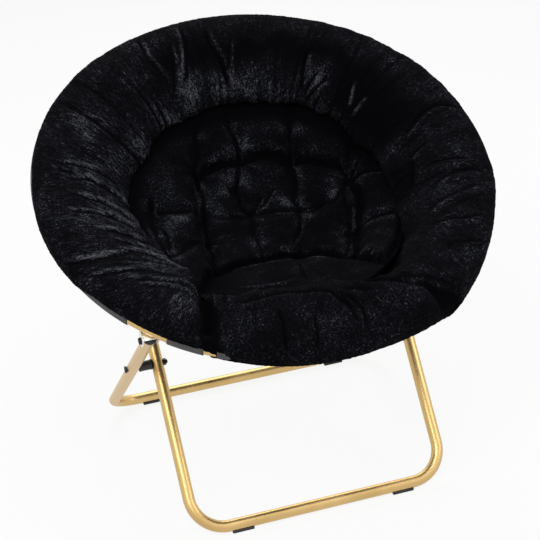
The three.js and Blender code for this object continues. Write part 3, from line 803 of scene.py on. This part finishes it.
def fold_sway(place):
    """How far a gather swings round on its way to the lip: those near a cleft run into it."""
    left = np.degrees(np.abs(turn_apart(place, LEFT_CLEFT)))
    right = np.degrees(np.abs(turn_apart(place, RIGHT_CLEFT)))
    to_left = np.minimum(0.8 * left, 34 * np.exp(-(((left - 38) / 48) ** 2)))
    to_right = np.minimum(0.6 * right, 17 * np.exp(-(((right - 28) / 40) ** 2)))
    in_front = ease(-np.sin(place), math.sin(math.radians(56)), math.sin(math.radians(62)))
    return np.radians(to_left - to_right) * (1 - in_front)


def noise_round(azimuth, size, across):
    """Noise that closes on itself round the rim, and varies across it."""
    return np.array([noise.noise(Vector((size * math.cos(a), size * math.sin(a), b)))
                     for a, b in zip(azimuth, across)])


def rim_creases(rng):
    """Gathers: (azimuth at the outer edge, how far it swings, depth, where it starts, width)."""
    creases = []
    place = -119.0
    while place > -416:
        azimuth = math.radians(place)
        strong = float(by_azimuth(azimuth, GATHERING))
        creases.append((azimuth, float(fold_sway(azimuth)) + rng.normal(0, 0.03),
                        strong * rng.choice([2.2, 4, 6.5, 9.5]) * MM,
                        rng.choice([0.03, 0.12, 0.3, 0.45, 0.6]), rng.uniform(2.8, 5.5) * MM))
        place -= rng.gamma(2.2, 1.5) + 0.7
    return creases


FRONT_CREASES = [(-110, -3, 2, 0.2, 5), (-76, 6, 2.5, 0.1, 5), (-70, 4, 2, 0.3, 5)]


def rim_cushion():
    rng = np.random.default_rng(11)
    line = [(r * MM, h * MM) for r, h in RIM_TOP + RIM_UNDER]
    bm, azimuth, number = spun_grid(line, RIM_STEPS)
    radius = np.array([line[j][0] for j in number])
    height = np.array([line[j][1] for j in number])
    last = len(RIM_TOP) - 1
    top = number <= last
    share = np.where(top, number / last, 1.0)
    across = (0.4815 - radius) / 0.1965
    loose = top * ease(share, 0.0, 0.1)
    height = np.where(top & (height > 0), height * by_azimuth(azimuth, RIM_CROWN), height)

    # The lower left edge stops above the sleeve, so that the cloth shows under it
    bare = ease(azimuth, math.radians(-157), math.radians(-149)) * (
        1 - ease(azimuth, math.radians(-124), math.radians(-116)))
    edge = top * (1 - ease(number, 0, 3)) * bare
    radius -= edge * 4 * MM
    height += edge * 12.5 * MM
    radius += top * ease(radius, 0.38, 0.47) * by_azimuth(azimuth, RIM_REACH) * MM * (
        1 - 0.5 * edge)
    hang = ease(-np.sin(azimuth), math.sin(math.radians(48)), math.sin(math.radians(62)))
    height -= top * hang * (1 - bare) * 9 * MM * (1 - ease(number, 0, 4))

    # Rolled front, and the two clefts beside it
    front = front_share(azimuth) * ease(across, 0.3, 1)
    height += front * ROLL_RISE * top
    radius += front * ROLL_SHIFT
    lobe = ease(np.cos(turn_apart(azimuth, math.radians(-90))), math.cos(math.radians(36)),
                math.cos(math.radians(14)))
    height += top * lobe * 10 * MM * hump(radius - 0.345, 0.06)
    swing = by_azimuth(azimuth, LIP_SWING) * MM * ease(share, 0.3, 1) * top
    radius += np.where(radius + swing < 0.44, swing, swing * 0.3)
    radius -= 24 * MM * (number == last + 1) * ease(by_azimuth(azimuth, LIP_SWING), 4, 20)
    gap = np.full(len(radius), 9.0)
    outer_end = 1 - ease(share, 0.12, 0.32)
    for (along, course), wide, deep in ((LEFT_COURSE, 17, 50),
                                        (RIGHT_COURSE, 7 + 16 * outer_end, 14 + 38 * outer_end)):
        off = turn_apart(azimuth, np.radians(np.interp(share, along, course))) * radius
        gap = np.where(top, np.minimum(gap, np.abs(off) / (wide * MM)), gap)
        reach = ease(share, 0.0, 0.14)
        height -= top * reach * deep * MM * hump(off, wide * MM)
        height += top * reach * 0.14 * deep * MM * hump(np.abs(off) - 2.6 * wide * MM,
                                                        1.3 * wide * MM)

    # Gathers: a groove with a swollen flank on each side
    dent = np.zeros(len(radius))
    fold = np.zeros(len(radius))
    made = rim_creases(rng)
    made += [(math.radians(a), -math.radians(b), c * MM, d, w * MM)
             for a, b, c, d, w in FRONT_CREASES]
    for place, sway, depth, begins, width in made:
        wave = 0.012 * np.sin(share * 7 + place * 9)
        off = turn_apart(azimuth, place + sway * share**2 + wave) * radius
        begin = ease(share, begins, begins + 0.3) * (1 - 0.5 * ease(share, 0.9, 1))
        dent = np.maximum(dent, depth * begin * hump(off, width))
        flank = begin * depth / (8 * MM)
        fold = np.maximum(fold, flank * hump(off - 2.1 * width, 1.1 * width))
        fold = np.maximum(fold, 0.6 * flank * hump(off + 2.1 * width, 1.1 * width))
    inward = ease(share, 0.55, 0.95)
    drop = (3.2 * MM * fold - dent) * loose
    height += drop * (1 - 0.55 * inward)
    level = np.ones(len(share))
    uneven = noise_round(azimuth, 4, 2.2 * level) + 0.6 * noise_round(azimuth, 11, 7.1 * level)
    shift = uneven * 9 * MM - 4 * MM - drop * 1.3
    radius += np.minimum(shift, 3 * MM) * inward * top
    swell = noise_round(azimuth, 12, share * 3) + 0.5 * noise_round(azimuth, 27, 5 * share)
    height += swell * 4.5 * MM * loose

    # Clear of the sleeve, the fold hinges and the cloth below
    hinge = np.maximum(hump(turn_apart(azimuth, math.atan2(FOLD, HINGE_X)) * RING, 0.06),
                       hump(turn_apart(azimuth, math.atan2(FOLD, -HINGE_X)) * RING, 0.06))
    ridge = 17 * MM + ease(hinge, 0.35, 0.7) * 11 * MM
    least = np.where(radius > 0.44, 16.5 * MM, shell_height(radius) + 6 * MM)
    close = np.abs(radius - RING) < ridge * 0.9
    rise = np.sqrt(np.maximum(0, ridge**2 - (radius - RING) ** 2))
    height = np.where(top & (number > 2), np.maximum(height, np.where(close, rise, least)), height)
    lining = (number > last) & (radius > 0.446) & (radius < 0.474)
    height += lining * ease(hinge, 0.35, 0.7) * 9 * MM
    under = (number > last) & (radius < 0.44)
    height = np.where(under, np.maximum(height, shell_height(radius) + LINING_GAP), height)

    # Pile tone with painted light: painted highlight on the gathers' flanks, the left side and the
    # back's inner face; painted shade in the gathers, the clefts, under the lip and underneath
    patch = noise_round(azimuth, 7, share * 2.5 + 4)
    left = ease(np.cos(turn_apart(azimuth, math.radians(-165))), 0.1, 0.9)
    back = ease(np.sin(azimuth), 0.3, 0.9)
    painted_highlight = np.maximum(left * ease(share, 0.22, 0.45), 1.2 * back * ease(share, 0.53, 0.64))
    painted_highlight = np.maximum(painted_highlight, 0.2) * (0.55 + 0.9 * ease(patch, -0.15, 0.4))
    tone_with_painted_light = 0.21 + 0.16 * painted_highlight + 0.4 * fold * painted_highlight * ease(share, 0.1, 0.35)
    turned = np.degrees(azimuth)
    across_back = ease(turned, 2, 14) * (1 - ease(turned, 105, 122))
    # Painted shadow: a dark band across the back of the rim, a dark patch at its back right and a dark
    # spot on its right side near the lip
    shade = hump(share + 0.08 * patch - 0.45, 0.085) * across_back
    shade = np.maximum(shade, ease(share, 0.38, 0.48) * (1 - ease(share, 0.7, 0.85))
                       * ease(turned, 4, 12) * (1 - ease(turned, 36, 48)))
    shade = np.maximum(shade, hump(turned + 12, 9) * hump(share - 0.74, 0.1))
    tone_with_painted_light *= 1 - 0.93 * shade
    lobe_front = ease(-np.sin(azimuth), math.sin(math.radians(54)), math.sin(math.radians(62)))
    tone_with_painted_light = tone_with_painted_light * (1 - lobe_front) + lobe_front * (0.235 + 0.1 * fold * ease(share, 0.02, 0.2))
    # Painted shade in the gathers, under the lip, underneath the rim and in the clefts
    tone_with_painted_light *= 1 - 0.9 * np.clip(dent / (4.5 * MM), 0, 1)
    tone_with_painted_light *= 1 - 0.9 * ease(share, 0.84, 0.95)
    shelf = (number > last) & (radius < 0.36) & (np.cos(azimuth) > 0)
    tone_with_painted_light = np.where(top, tone_with_painted_light, np.where(shelf, 0.2, 0.3 * tone_with_painted_light))
    tone_with_painted_light *= 0.04 + 0.96 * ease(gap, 0.75, 1.4)
    outer = azimuth - fold_sway(azimuth - 0.5 * fold_sway(azimuth)) * share**2
    long = 0.16 - 0.08 * left + 0.1 * lobe_front
    lay = np.stack([0.4 * np.cos(outer), 0.4 * np.sin(outer), long * share], axis=1)
    places = np.stack([radius * np.cos(azimuth), radius * np.sin(azimuth), height], axis=1)
    piece = cushion(bm, "plush_rim_cushion", places, tone_with_painted_light, lay)
    held = np.where(top, np.clip(dent / (4 * MM), 0, 1), 1.0)
    held = np.maximum(held, np.where(top & (number < 4), 1.0, 0.0))
    held = np.maximum(held, ease(share, 0.9, 1.0))
    return puffed(piece, held, 3.0)


# Bowl cushion: tufts as points and seams as lines, across and back from the bowl's middle in mm
TUFTS = [(-17, 19), (90, 2), (210, 40), (169, -96), (-27, 92), (-122, 42), (-134, -44),
         (0, 163), (105, 132), (-106, 138), (45, -122)]
SEAMS = [
    ([(-84, 240), (-92, 190), (-106, 138)], 9), ([(0, 245), (-2, 164), (-27, 92), (-28, 34),
                                                  (-17, 19)], 8),
    ([(138, 235), (131, 205), (104, 133), (93, 57), (90, 2), (78, -36), (45, -122)], 8),
    ([(90, 2), (125, 6), (171, 8), (210, 40), (215, 75), (240, 115)], 7),
    ([(196, 19), (186, -32), (169, -96), (134, -165)], 7), ([(-235, 28), (-202, 34), (-122, 42)], 8),
    ([(-228, 56), (-238, -10), (-230, -112)], 9), ([(-240, -92), (-180, -66), (-134, -44)], 7),
    ([(-17, 19), (-23, -58), (-30, -107)], 5), ([(-17, 19), (35, 14), (90, 2)], 6),
    ([(-122, 42), (-70, 22), (-17, 19)], 4), ([(169, -96), (224, -94), (275, -98)], 7),
    ([(-122, 42), (-130, -10), (-134, -44)], 4),
]
# The step where the puffed wall overhangs the middle: azimuth in degrees, mm from the middle
WALL_STEP = [(-163, 140), (-136, 194), (-110, 260), (-70, 260), (-52, 232), (-30, 212), (-11, 218),
             (5, 222), (19, 226), (27, 211), (40, 192), (51, 170), (72, 176), (89, 163),
             (110, 166), (127, 174), (145, 146), (161, 129), (178, 132)]
# Back edge of the seat, under the wall: across, back
SEAT_BACK = [(-230, -260), (-200, -215), (-165, -158), (-138, -130), (-80, -113), (-29, -105),
             (20, -109), (49, -119), (86, -141), (131, -170), (160, -208), (184, -259),
             (220, -330)]


def to_line(x, y, line):
    """Distance of each point from a line of straight stretches."""
    best = np.full(len(x), 9.0)
    for (ax, ay), (bx, by) in zip(line, line[1:]):
        ax, ay, bx, by = ax * MM, ay * MM, bx * MM, by * MM
        share = np.clip(((x - ax) * (bx - ax) + (y - ay) * (by - ay))
                        / ((bx - ax) ** 2 + (by - ay) ** 2), 0, 1)
        best = np.minimum(best, np.hypot(x - ax - share * (bx - ax), y - ay - share * (by - ay)))
    return best


def noise_at(x, y, size, seed):
    return np.array([noise.noise(Vector((a / size, b / size, seed))) for a, b in zip(x, y)])


def bowl_cushion():
    bm = bmesh.new()
    bmesh.ops.create_grid(bm, x_segments=BOWL_GRID, y_segments=BOWL_GRID, size=1)
    raised = bmesh.ops.extrude_face_region(bm, geom=bm.faces[:], use_keep_orig=True)["geom"]
    bmesh.ops.translate(bm, verts=verts_in(raised), vec=(0, 0, 1))
    bm.verts.index_update()
    a, b, top = np.array([v.co for v in bm.verts]).T
    top = top > 0.5
    x, y = BOWL * a * np.sqrt(1 - b * b / 2), BOWL * b * np.sqrt(1 - a * a / 2)
    radius, azimuth = np.hypot(x, y), np.arctan2(y, x)
    share = np.minimum(1, radius / BOWL)
    front = front_share(azimuth) * share**2
    height = -86 * MM - 64 * MM * (1 - share**2.6)
    loose = 1 - ease(share, 0.93, 1)
    wx = x + 9 * MM * noise_at(x, y, 0.06, 1.7) + 3 * MM * noise_at(x, y, 0.02, 8.2)
    wy = y + 9 * MM * noise_at(x, y, 0.06, 5.9) + 3 * MM * noise_at(x, y, 0.02, 3.4)

    # Seat, wall and middle
    seat_front = np.interp(wx, [p * MM for p, _ in SEAT_BACK], [q * MM for _, q in SEAT_BACK]) - wy
    in_seat = ease(seat_front, -2 * MM, 9 * MM)
    out = radius + 0.5 * (wx - x + wy - y) - by_azimuth(azimuth, WALL_STEP) * MM
    wall = ease(out, -5 * MM, 18 * MM) * (1 - in_seat)
    dent = 11 * MM * hump(out + 4 * MM, 5.5 * MM) * (1 - in_seat)
    away = np.abs(out) + 9 * MM
    for line, deep in SEAMS:
        off = to_line(wx, wy, line)
        dent = np.maximum(dent, 0.7 * deep * MM * hump(off, 3.6 * MM) * (1 - in_seat))
        away = np.minimum(away, off)
    wrinkle = np.zeros(len(x))
    for k, (tx, ty) in enumerate(TUFTS):
        off = np.hypot(wx - tx * MM, wy - ty * MM)
        turn = np.arctan2(y - ty * MM, x - tx * MM)
        dent = np.maximum(dent, 12 * MM * hump(off, 8 * MM))
        away = np.minimum(away, off * 0.75)
        wrinkle += 4.2 * MM * np.sin(turn * (5 + k % 4) + k) * ease(off, 0.003, 0.012) * hump(
            off, 34 * MM)
    wrinkle *= 1 - in_seat
    pillow = 1 - hump(away, 19 * MM)
    height += loose * ((9 * MM * pillow + 20 * MM * wall) * (1 - in_seat) - dent + wrinkle)
    height -= 7 * MM * ease(share, 0.84, 0.95) * (1 - front) * loose
    height += 7 * MM * hump(seat_front + 13 * MM, 10 * MM) * loose
    height -= 15 * MM * hump(seat_front - 5 * MM, 8 * MM) * loose
    puff = np.hypot(x / 0.175, (y + 0.205) / 0.098)
    height += 26 * MM * np.maximum(0, 1 - puff**2) ** 1.2
    for line, deep in (([(35, -150), (46, -205), (50, -262)], 5), ([(-120, -214), (-40, -226),
                                                                     (46, -205)], 4)):
        height -= deep * MM * hump(to_line(wx, wy, line), 6 * MM) * in_seat
    height += front * ROLL_RISE + loose * 3.5 * MM * noise_at(x, y, 0.05, 3.1)
    moved = 1 + front * ROLL_SHIFT / np.maximum(radius, MM)
    x, y = x * moved, y * moved
    bottom = shell_height(np.hypot(x, y))
    height = np.where(top, np.maximum(height, bottom + 7 * MM), bottom + LINING_GAP)

    # Pile tone with painted light: painted highlight round the tufts, on their wrinkles, on the wall's
    # lower edge, on the left and along the seat's back edge
    patch = ease(noise_at(x, y, 0.042, 6.6), -0.1, 0.42)
    lit = hump(away - 13 * MM, 12 * MM) * patch + 0.6 * np.clip(wrinkle / (1.6 * MM), 0, 1)
    lit = np.maximum(lit, hump(out - 9 * MM, 7 * MM) * (0.35 + 0.65 * patch))
    tone_with_painted_light = (0.15 + 0.07 * patch + 0.2 * lit) * (1 - in_seat) + 0.18 * in_seat
    tone_with_painted_light *= 1 + 0.7 * ease(-x, 0.12, 0.2)
    tone_with_painted_light += 0.4 * hump(seat_front + 9 * MM, 5 * MM) * (0.4 + 0.6 * patch)
    # Painted shade in the seams and tufts, in a band under the rim's lip, in the seat's back groove
    # and in a patch at the front left
    tone_with_painted_light *= 1 - 0.95 * np.clip(dent / (5 * MM), 0, 1)
    band = 0.228 + 0.006 * ease(-np.cos(azimuth), 0.3, 0.8)
    at_front = ease(-np.sin(azimuth - 0.35), 0.1, 0.5)
    tone_with_painted_light *= 1 - 0.97 * ease(radius - band, 0, 0.034) * (1 - at_front)
    tone_with_painted_light *= 1 - 0.9 * hump(seat_front - 5 * MM, 8 * MM)
    tone_with_painted_light *= 1 - 0.9 * hump(np.hypot(x + 165 * MM, y + 185 * MM), 50 * MM)
    tone_with_painted_light = np.where(top, tone_with_painted_light, 0.1)
    lay = np.stack([1.1 * x, 1.1 * y, np.full(len(x), 0.1)], axis=1)
    piece = cushion(bm, "plush_bowl_cushion", np.stack([x, y, height], axis=1), tone_with_painted_light, lay)
    held = np.where(top, np.clip(dent / (5 * MM), 0, 1), 1.0)
    held = np.maximum(held, ease(share, 0.9, 0.97))
    return puffed(piece, held, 2.5)


# Narrow creases: the line from its start to its end as (across, back) in mm, depth, width and how
# strong the painted highlight is on the left of the line's run
RIM_CREASES = [
    ([(-421, 98), (-384, 98), (-341, 90), (-308, 72), (-287, 55)], 4, 4, 0.35),
    ([(-400, 55), (-357, 64), (-325, 45), (-293, 32), (-274, 8)], 5, 4, 0.6),
    ([(-399, 12), (-345, 5), (-314, -10), (-275, -34)], 5, 4, 0.6),
    ([(-423, -32), (-373, -32), (-329, -33), (-280, -58)], 4, 4, 0.5),
    ([(-380, -79), (-335, -80), (-295, -85), (-262, -104)], 5, 4, 0.5),
    ([(-347, -108), (-300, -110), (-255, -126), (-226, -148)], 5, 4, 0.55),
    ([(-343, -134), (-292, -133), (-250, -148), (-217, -180), (-200, -215)], 5, 4, 0.6),
    ([(-458, -158), (-430, -158), (-399, -162), (-352, -151), (-307, -140)], 8, 5, 0.6),
    ([(-419, -205), (-360, -203), (-309, -195), (-269, -206), (-235, -230)], 4, 4, 0.45),
    ([(-350, -222), (-300, -226), (-262, -240), (-232, -262), (-216, -292)], 4, 4, 0.5),
    ([(-327, -240), (-287, -250), (-253, -270), (-228, -305)], 3, 4, 0.4),
    ([(-162, 429), (-155, 368), (-132, 317), (-125, 300)], 5, 4, 0.4),
    ([(-97, 411), (-100, 355), (-109, 301), (-121, 265)], 5, 4, 0.35),
    ([(-100, 290), (-84, 314), (-70, 351), (-62, 394), (-63, 452)], 6, 4, 0.5),
    ([(-13, 426), (-8, 386), (4, 345), (10, 307), (8, 276)], 9, 4.5, 0.35),
    ([(39, 389), (21, 340), (13, 311)], 3, 4, 0.3),
    ([(196, 318), (184, 296), (172, 268), (158, 238)], 9, 4.5, 0.35),
    ([(210, 267), (184, 252), (164, 240)], 4, 4, 0.45),
    ([(222, 246), (190, 236), (166, 232)], 4, 4, 0.4),
    ([(267, 218), (250, 189), (236, 165)], 5, 4, 0.45),
    ([(282, 174), (254, 160), (238, 148)], 4, 4, 0.4),
    ([(455, 61), (405, 77), (366, 65), (334, 42), (312, 33)], 4, 4, 0.35),
    ([(361, -5), (331, -13), (311, -23)], 3, 4, 0.3),
    ([(318, -25), (301, -69), (288, -99)], 9, 6, 0.1),
    ([(416, -88), (369, -68), (338, -62), (319, -70)], 2.5, 4, 0.15),
    ([(430, -120), (385, -108), (345, -110), (318, -122)], 2, 4, 0.12),
    ([(415, -152), (382, -163), (348, -164), (312, -171), (271, -192)], 3, 4, 0.3),
    ([(420, -190), (370, -192), (325, -200), (290, -212)], 2, 4, 0.12),
    ([(400, -238), (346, -240), (314, -226), (262, -224)], 3, 4, 0.2),
    ([(372, -302), (327, -297), (295, -294), (252, -315)], 3, 4, 0.15),
    ([(42, -462), (46, -430), (44, -397), (18, -354), (-18, -342), (-60, -329), (-104, -330),
      (-146, -337), (-184, -347)], 7, 5, 0.24),
    ([(58, -462), (66, -409), (52, -375), (20, -348)], 6, 4, 0.22),
    ([(-105, -470), (-92, -406), (-93, -365)], 6, 3.2, 0.2),
    ([(-46, -472), (-34, -430), (-26, -390)], 5, 3.2, 0.15),
    ([(258, -401), (238, -378), (215, -360), (178, -349), (154, -347)], 5, 4, 0.17),
    ([(105, -371), (61, -358), (39, -352)], 4, 4, 0.25),
]
BOWL_CREASES = [
    ([(1, 223), (5, 182), (3, 160)], 4, 3, 0.24),
    ([(130, 210), (119, 180), (112, 138), (107, 82), (93, 31)], 4, 3, 0.21),
    ([(-7, 134), (-25, 96), (-29, 52), (-20, 27)], 4, 3, 0.17),
    ([(21, 58), (4, 36), (-10, 22)], 3, 3, 0.28),
    ([(55, 73), (29, 45), (-4, 22)], 3, 3, 0.28), ([(-60, 30), (-36, 18), (-18, 16)], 3, 3, 0.24),
    ([(160, 10), (122, -4), (95, -10)], 4, 3, 0.21), ([(88, -6), (74, -49), (40, -93)], 3, 3, 0.24),
    ([(30, 8), (60, 4), (86, 0)], 3, 3, 0.28), ([(194, -21), (182, -60), (172, -94)], 4, 3, 0.28),
    ([(280, 10), (248, 22), (214, 38)], 3, 3, 0.24), ([(205, 90), (212, 66), (212, 44)], 3, 3, 0.28),
    ([(172, 70), (190, 56), (208, 42)], 3, 3, 0.24), ([(250, 70), (230, 54), (214, 42)], 3, 3, 0.21),
    ([(-132, -122), (-128, -35), (-118, 20), (-108, 76), (-104, 147)], 6, 4, 0.28),
    ([(-92, 148), (-50, 160), (-2, 167)], 5, 4, 0.28), ([(6, 173), (65, 167), (114, 136)], 5, 4, 0.24),
    ([(-219, 72), (-229, 40), (-227, 8)], 5, 4, 0.35),
    ([(-221, -3), (-214, -37), (-222, -85)], 5, 4, 0.28),
    ([(133, -178), (86, -148), (49, -125), (20, -115), (-29, -111), (-80, -119), (-127, -134)],
     4, 3.5, 0.7),
    ([(31, -153), (24, -200), (16, -245)], 4, 3, 0.14),
    ([(-123, -229), (-80, -238), (-38, -243), (5, -240)], 4, 3.5, 0.32),
]


def beside(x, y, line):
    """Signed distance of each point from a line, and how far along the line it is, 0 to 1."""
    points = np.array(line) * MM
    length = np.hypot(*np.diff(points, axis=0).T)
    best, along = np.full(len(x), 9.0), np.zeros(len(x))
    for k, (start, step) in enumerate(zip(points, np.diff(points, axis=0))):
        share = np.clip(((x - start[0]) * step[0] + (y - start[1]) * step[1]) / length[k] ** 2, 0, 1)
        away_x, away_y = x - start[0] - share * step[0], y - start[1] - share * step[1]
        off = np.hypot(away_x, away_y)
        off = np.where(step[0] * away_y - step[1] * away_x < 0, -off, off)
        nearer = np.abs(off) < np.abs(best)
        best = np.where(nearer, off, best)
        along = np.where(nearer, (length[:k].sum() + share * length[k]) / length.sum(), along)
    return best, along


def pressed(piece, creases):
    """Presses narrow creases into the finished skin, with painted shade in each groove and a painted
    highlight on the ridge beside it.
    """
    mesh = piece.data
    turn = np.array(TO_SEAT.to_3x3())
    normals = normals_of(mesh)
    co = positions(mesh)
    flat = (co - np.array(TO_SEAT.translation)) @ turn
    shown = ease((normals @ turn)[:, 2], -0.05, 0.15)
    tone_with_painted_light = np.zeros(len(co), dtype=np.float32)
    mesh.attributes["tone_with_painted_light"].data.foreach_get("value", tone_with_painted_light)
    x = flat[:, 0] + 2.5 * MM * noise_at(flat[:, 0], flat[:, 1], 0.028, 2.2)
    y = flat[:, 1] + 2.5 * MM * noise_at(flat[:, 0], flat[:, 1], 0.028, 6.4)
    lift = np.zeros(len(co))
    for line, depth, width, painted_ridge_highlight in creases:
        side, along = beside(x, y, line)
        strength = shown * ease(np.minimum(along, 1 - along), 0, 0.22)
        groove = strength * hump(side, width * MM)
        ridge = strength * hump(side - 1.9 * width * MM, 1.1 * width * MM)
        press = depth * (0.35 * ridge - groove)
        lift = np.where(np.abs(press) > np.abs(lift), press, lift)
        # Painted shade in the groove and a painted highlight on the ridge beside it
        tone_with_painted_light = tone_with_painted_light * (1 - 0.85 * groove)
        tone_with_painted_light = np.maximum(tone_with_painted_light, tone_with_painted_light * (1 - ridge) + ridge * 1.45 * painted_ridge_highlight)
    put_positions(mesh, co + normals * (lift * MM)[:, None])
    mesh.attributes["tone_with_painted_light"].data.foreach_set("value", tone_with_painted_light.astype(np.float32))
    return piece


cover()
for maker, replaced, creases in ((rim_cushion, "rim", RIM_CREASES),
                                 (bowl_cushion, "seat", BOWL_CREASES)):
    soft = pressed(subdivided(maker()), creases)
    tufted_pile(soft, [(6.5 * MM, 0.9 * MM), (3 * MM, 0.7 * MM)])
    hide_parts(f"front_{replaced}_cushion", f"rear_{replaced}_cushion")
    fold_blend(soft)


# Stage, light and camera. The camera was fitted to the photograph's outlines
AIM = Vector((0, 0, 0.45))
CAMERA_PLACE = (-0.7688, -2.8095, 1.8055)
FOCAL_PIXELS, PICTURE_PIXELS, SENSOR = 1518.2, 540, 36
YAW, PITCH, ROLL = math.radians(15.18), math.radians(24.9), math.radians(-4.78)


def seen_directly(tree):
    """1 for rays from the camera or off a glossy surface, and 0 for the rest."""
    rays = tree.nodes.new("ShaderNodeLightPath")
    seen = tree.nodes.new("ShaderNodeMath")
    seen.operation = "MAXIMUM"
    tree.links.new(rays.outputs["Is Camera Ray"], seen.inputs[0])
    tree.links.new(rays.outputs["Is Glossy Ray"], seen.inputs[1])
    return seen.outputs[0]


def floor():
    bm = bmesh.new()
    bmesh.ops.create_grid(bm, x_segments=1, y_segments=1, size=30)
    mesh = bpy.data.meshes.new("floor")
    bm.to_mesh(mesh)
    bm.free()
    ground = shown("floor", mesh)
    material = bpy.data.materials.new("pale_floor")
    material.use_nodes = True
    tree = material.node_tree
    shader = tree.nodes["Principled BSDF"]
    shader.inputs["Base Color"].default_value = (0.8, 0.8, 0.81, 1)
    shader.inputs["Roughness"].default_value = 0.9
    shader.inputs["Specular IOR Level"].default_value = 0.1
    glow = tree.nodes.new("ShaderNodeEmission")
    glow.inputs["Color"].default_value = (1, 1, 1, 1)
    strength = tree.nodes.new("ShaderNodeMath")
    strength.operation = "MULTIPLY"
    strength.inputs[1].default_value = 0.87
    tree.links.new(seen_directly(tree), strength.inputs[0])
    mix = tree.nodes.new("ShaderNodeMixShader")
    tree.links.new(strength.outputs[0], mix.inputs["Fac"])
    tree.links.new(shader.outputs[0], mix.inputs[1])
    tree.links.new(glow.outputs[0], mix.inputs[2])
    tree.links.new(mix.outputs[0], tree.nodes["Material Output"].inputs["Surface"])
    mesh.materials.append(material)


def lamp(name, place, size, power):
    light = bpy.data.lights.new(name, "AREA")
    light.shape = "DISK"
    light.size = size
    light.energy = power
    made = shown(name, light)
    made.location = place
    made.rotation_euler = (AIM - Vector(place)).to_track_quat("-Z", "Y").to_euler()


def surroundings():
    world = bpy.data.worlds.new("studio")
    bpy.context.scene.world = world
    world.use_nodes = True
    tree = world.node_tree
    back = tree.nodes["Background"]
    level = tree.nodes.new("ShaderNodeMapRange")
    level.inputs["To Min"].default_value = 0.55
    level.inputs["To Max"].default_value = 1.0
    tree.links.new(seen_directly(tree), level.inputs["Value"])
    tree.links.new(level.outputs[0], back.inputs["Strength"])
    back.inputs["Color"].default_value = (1, 1, 1, 1)


def camera():
    lens = bpy.data.cameras.new("view")
    lens.sensor_width = SENSOR
    lens.lens = SENSOR * FOCAL_PIXELS / PICTURE_PIXELS
    lens.clip_start, lens.clip_end = 0.1, 100
    made = shown("view", lens)
    ahead = Vector((math.sin(YAW) * math.cos(PITCH), math.cos(YAW) * math.cos(PITCH),
                    -math.sin(PITCH)))
    level = ahead.cross(Vector((0, 0, 1))).normalized()
    up = level.cross(ahead)
    across = level * math.cos(ROLL) + up * math.sin(ROLL)
    upward = across.cross(ahead)
    turn = Matrix((across, upward, -ahead)).transposed()
    made.matrix_world = Matrix.Translation(CAMERA_PLACE) @ turn.to_4x4()
    bpy.context.scene.camera = made


floor()
lamp("key_light", (-1.8, -2.2, 3.0), 2.2, 55)
lamp("fill_light", (2.6, -1.6, 2.2), 2.2, 28)
lamp("back_light", (0.4, 2.4, 3.0), 2.5, 45)
lamp("high_light", (-0.5, -1.7, 3.0), 0.9, 14)
surroundings()
camera()
bpy.context.scene.view_settings.view_transform = "Standard"
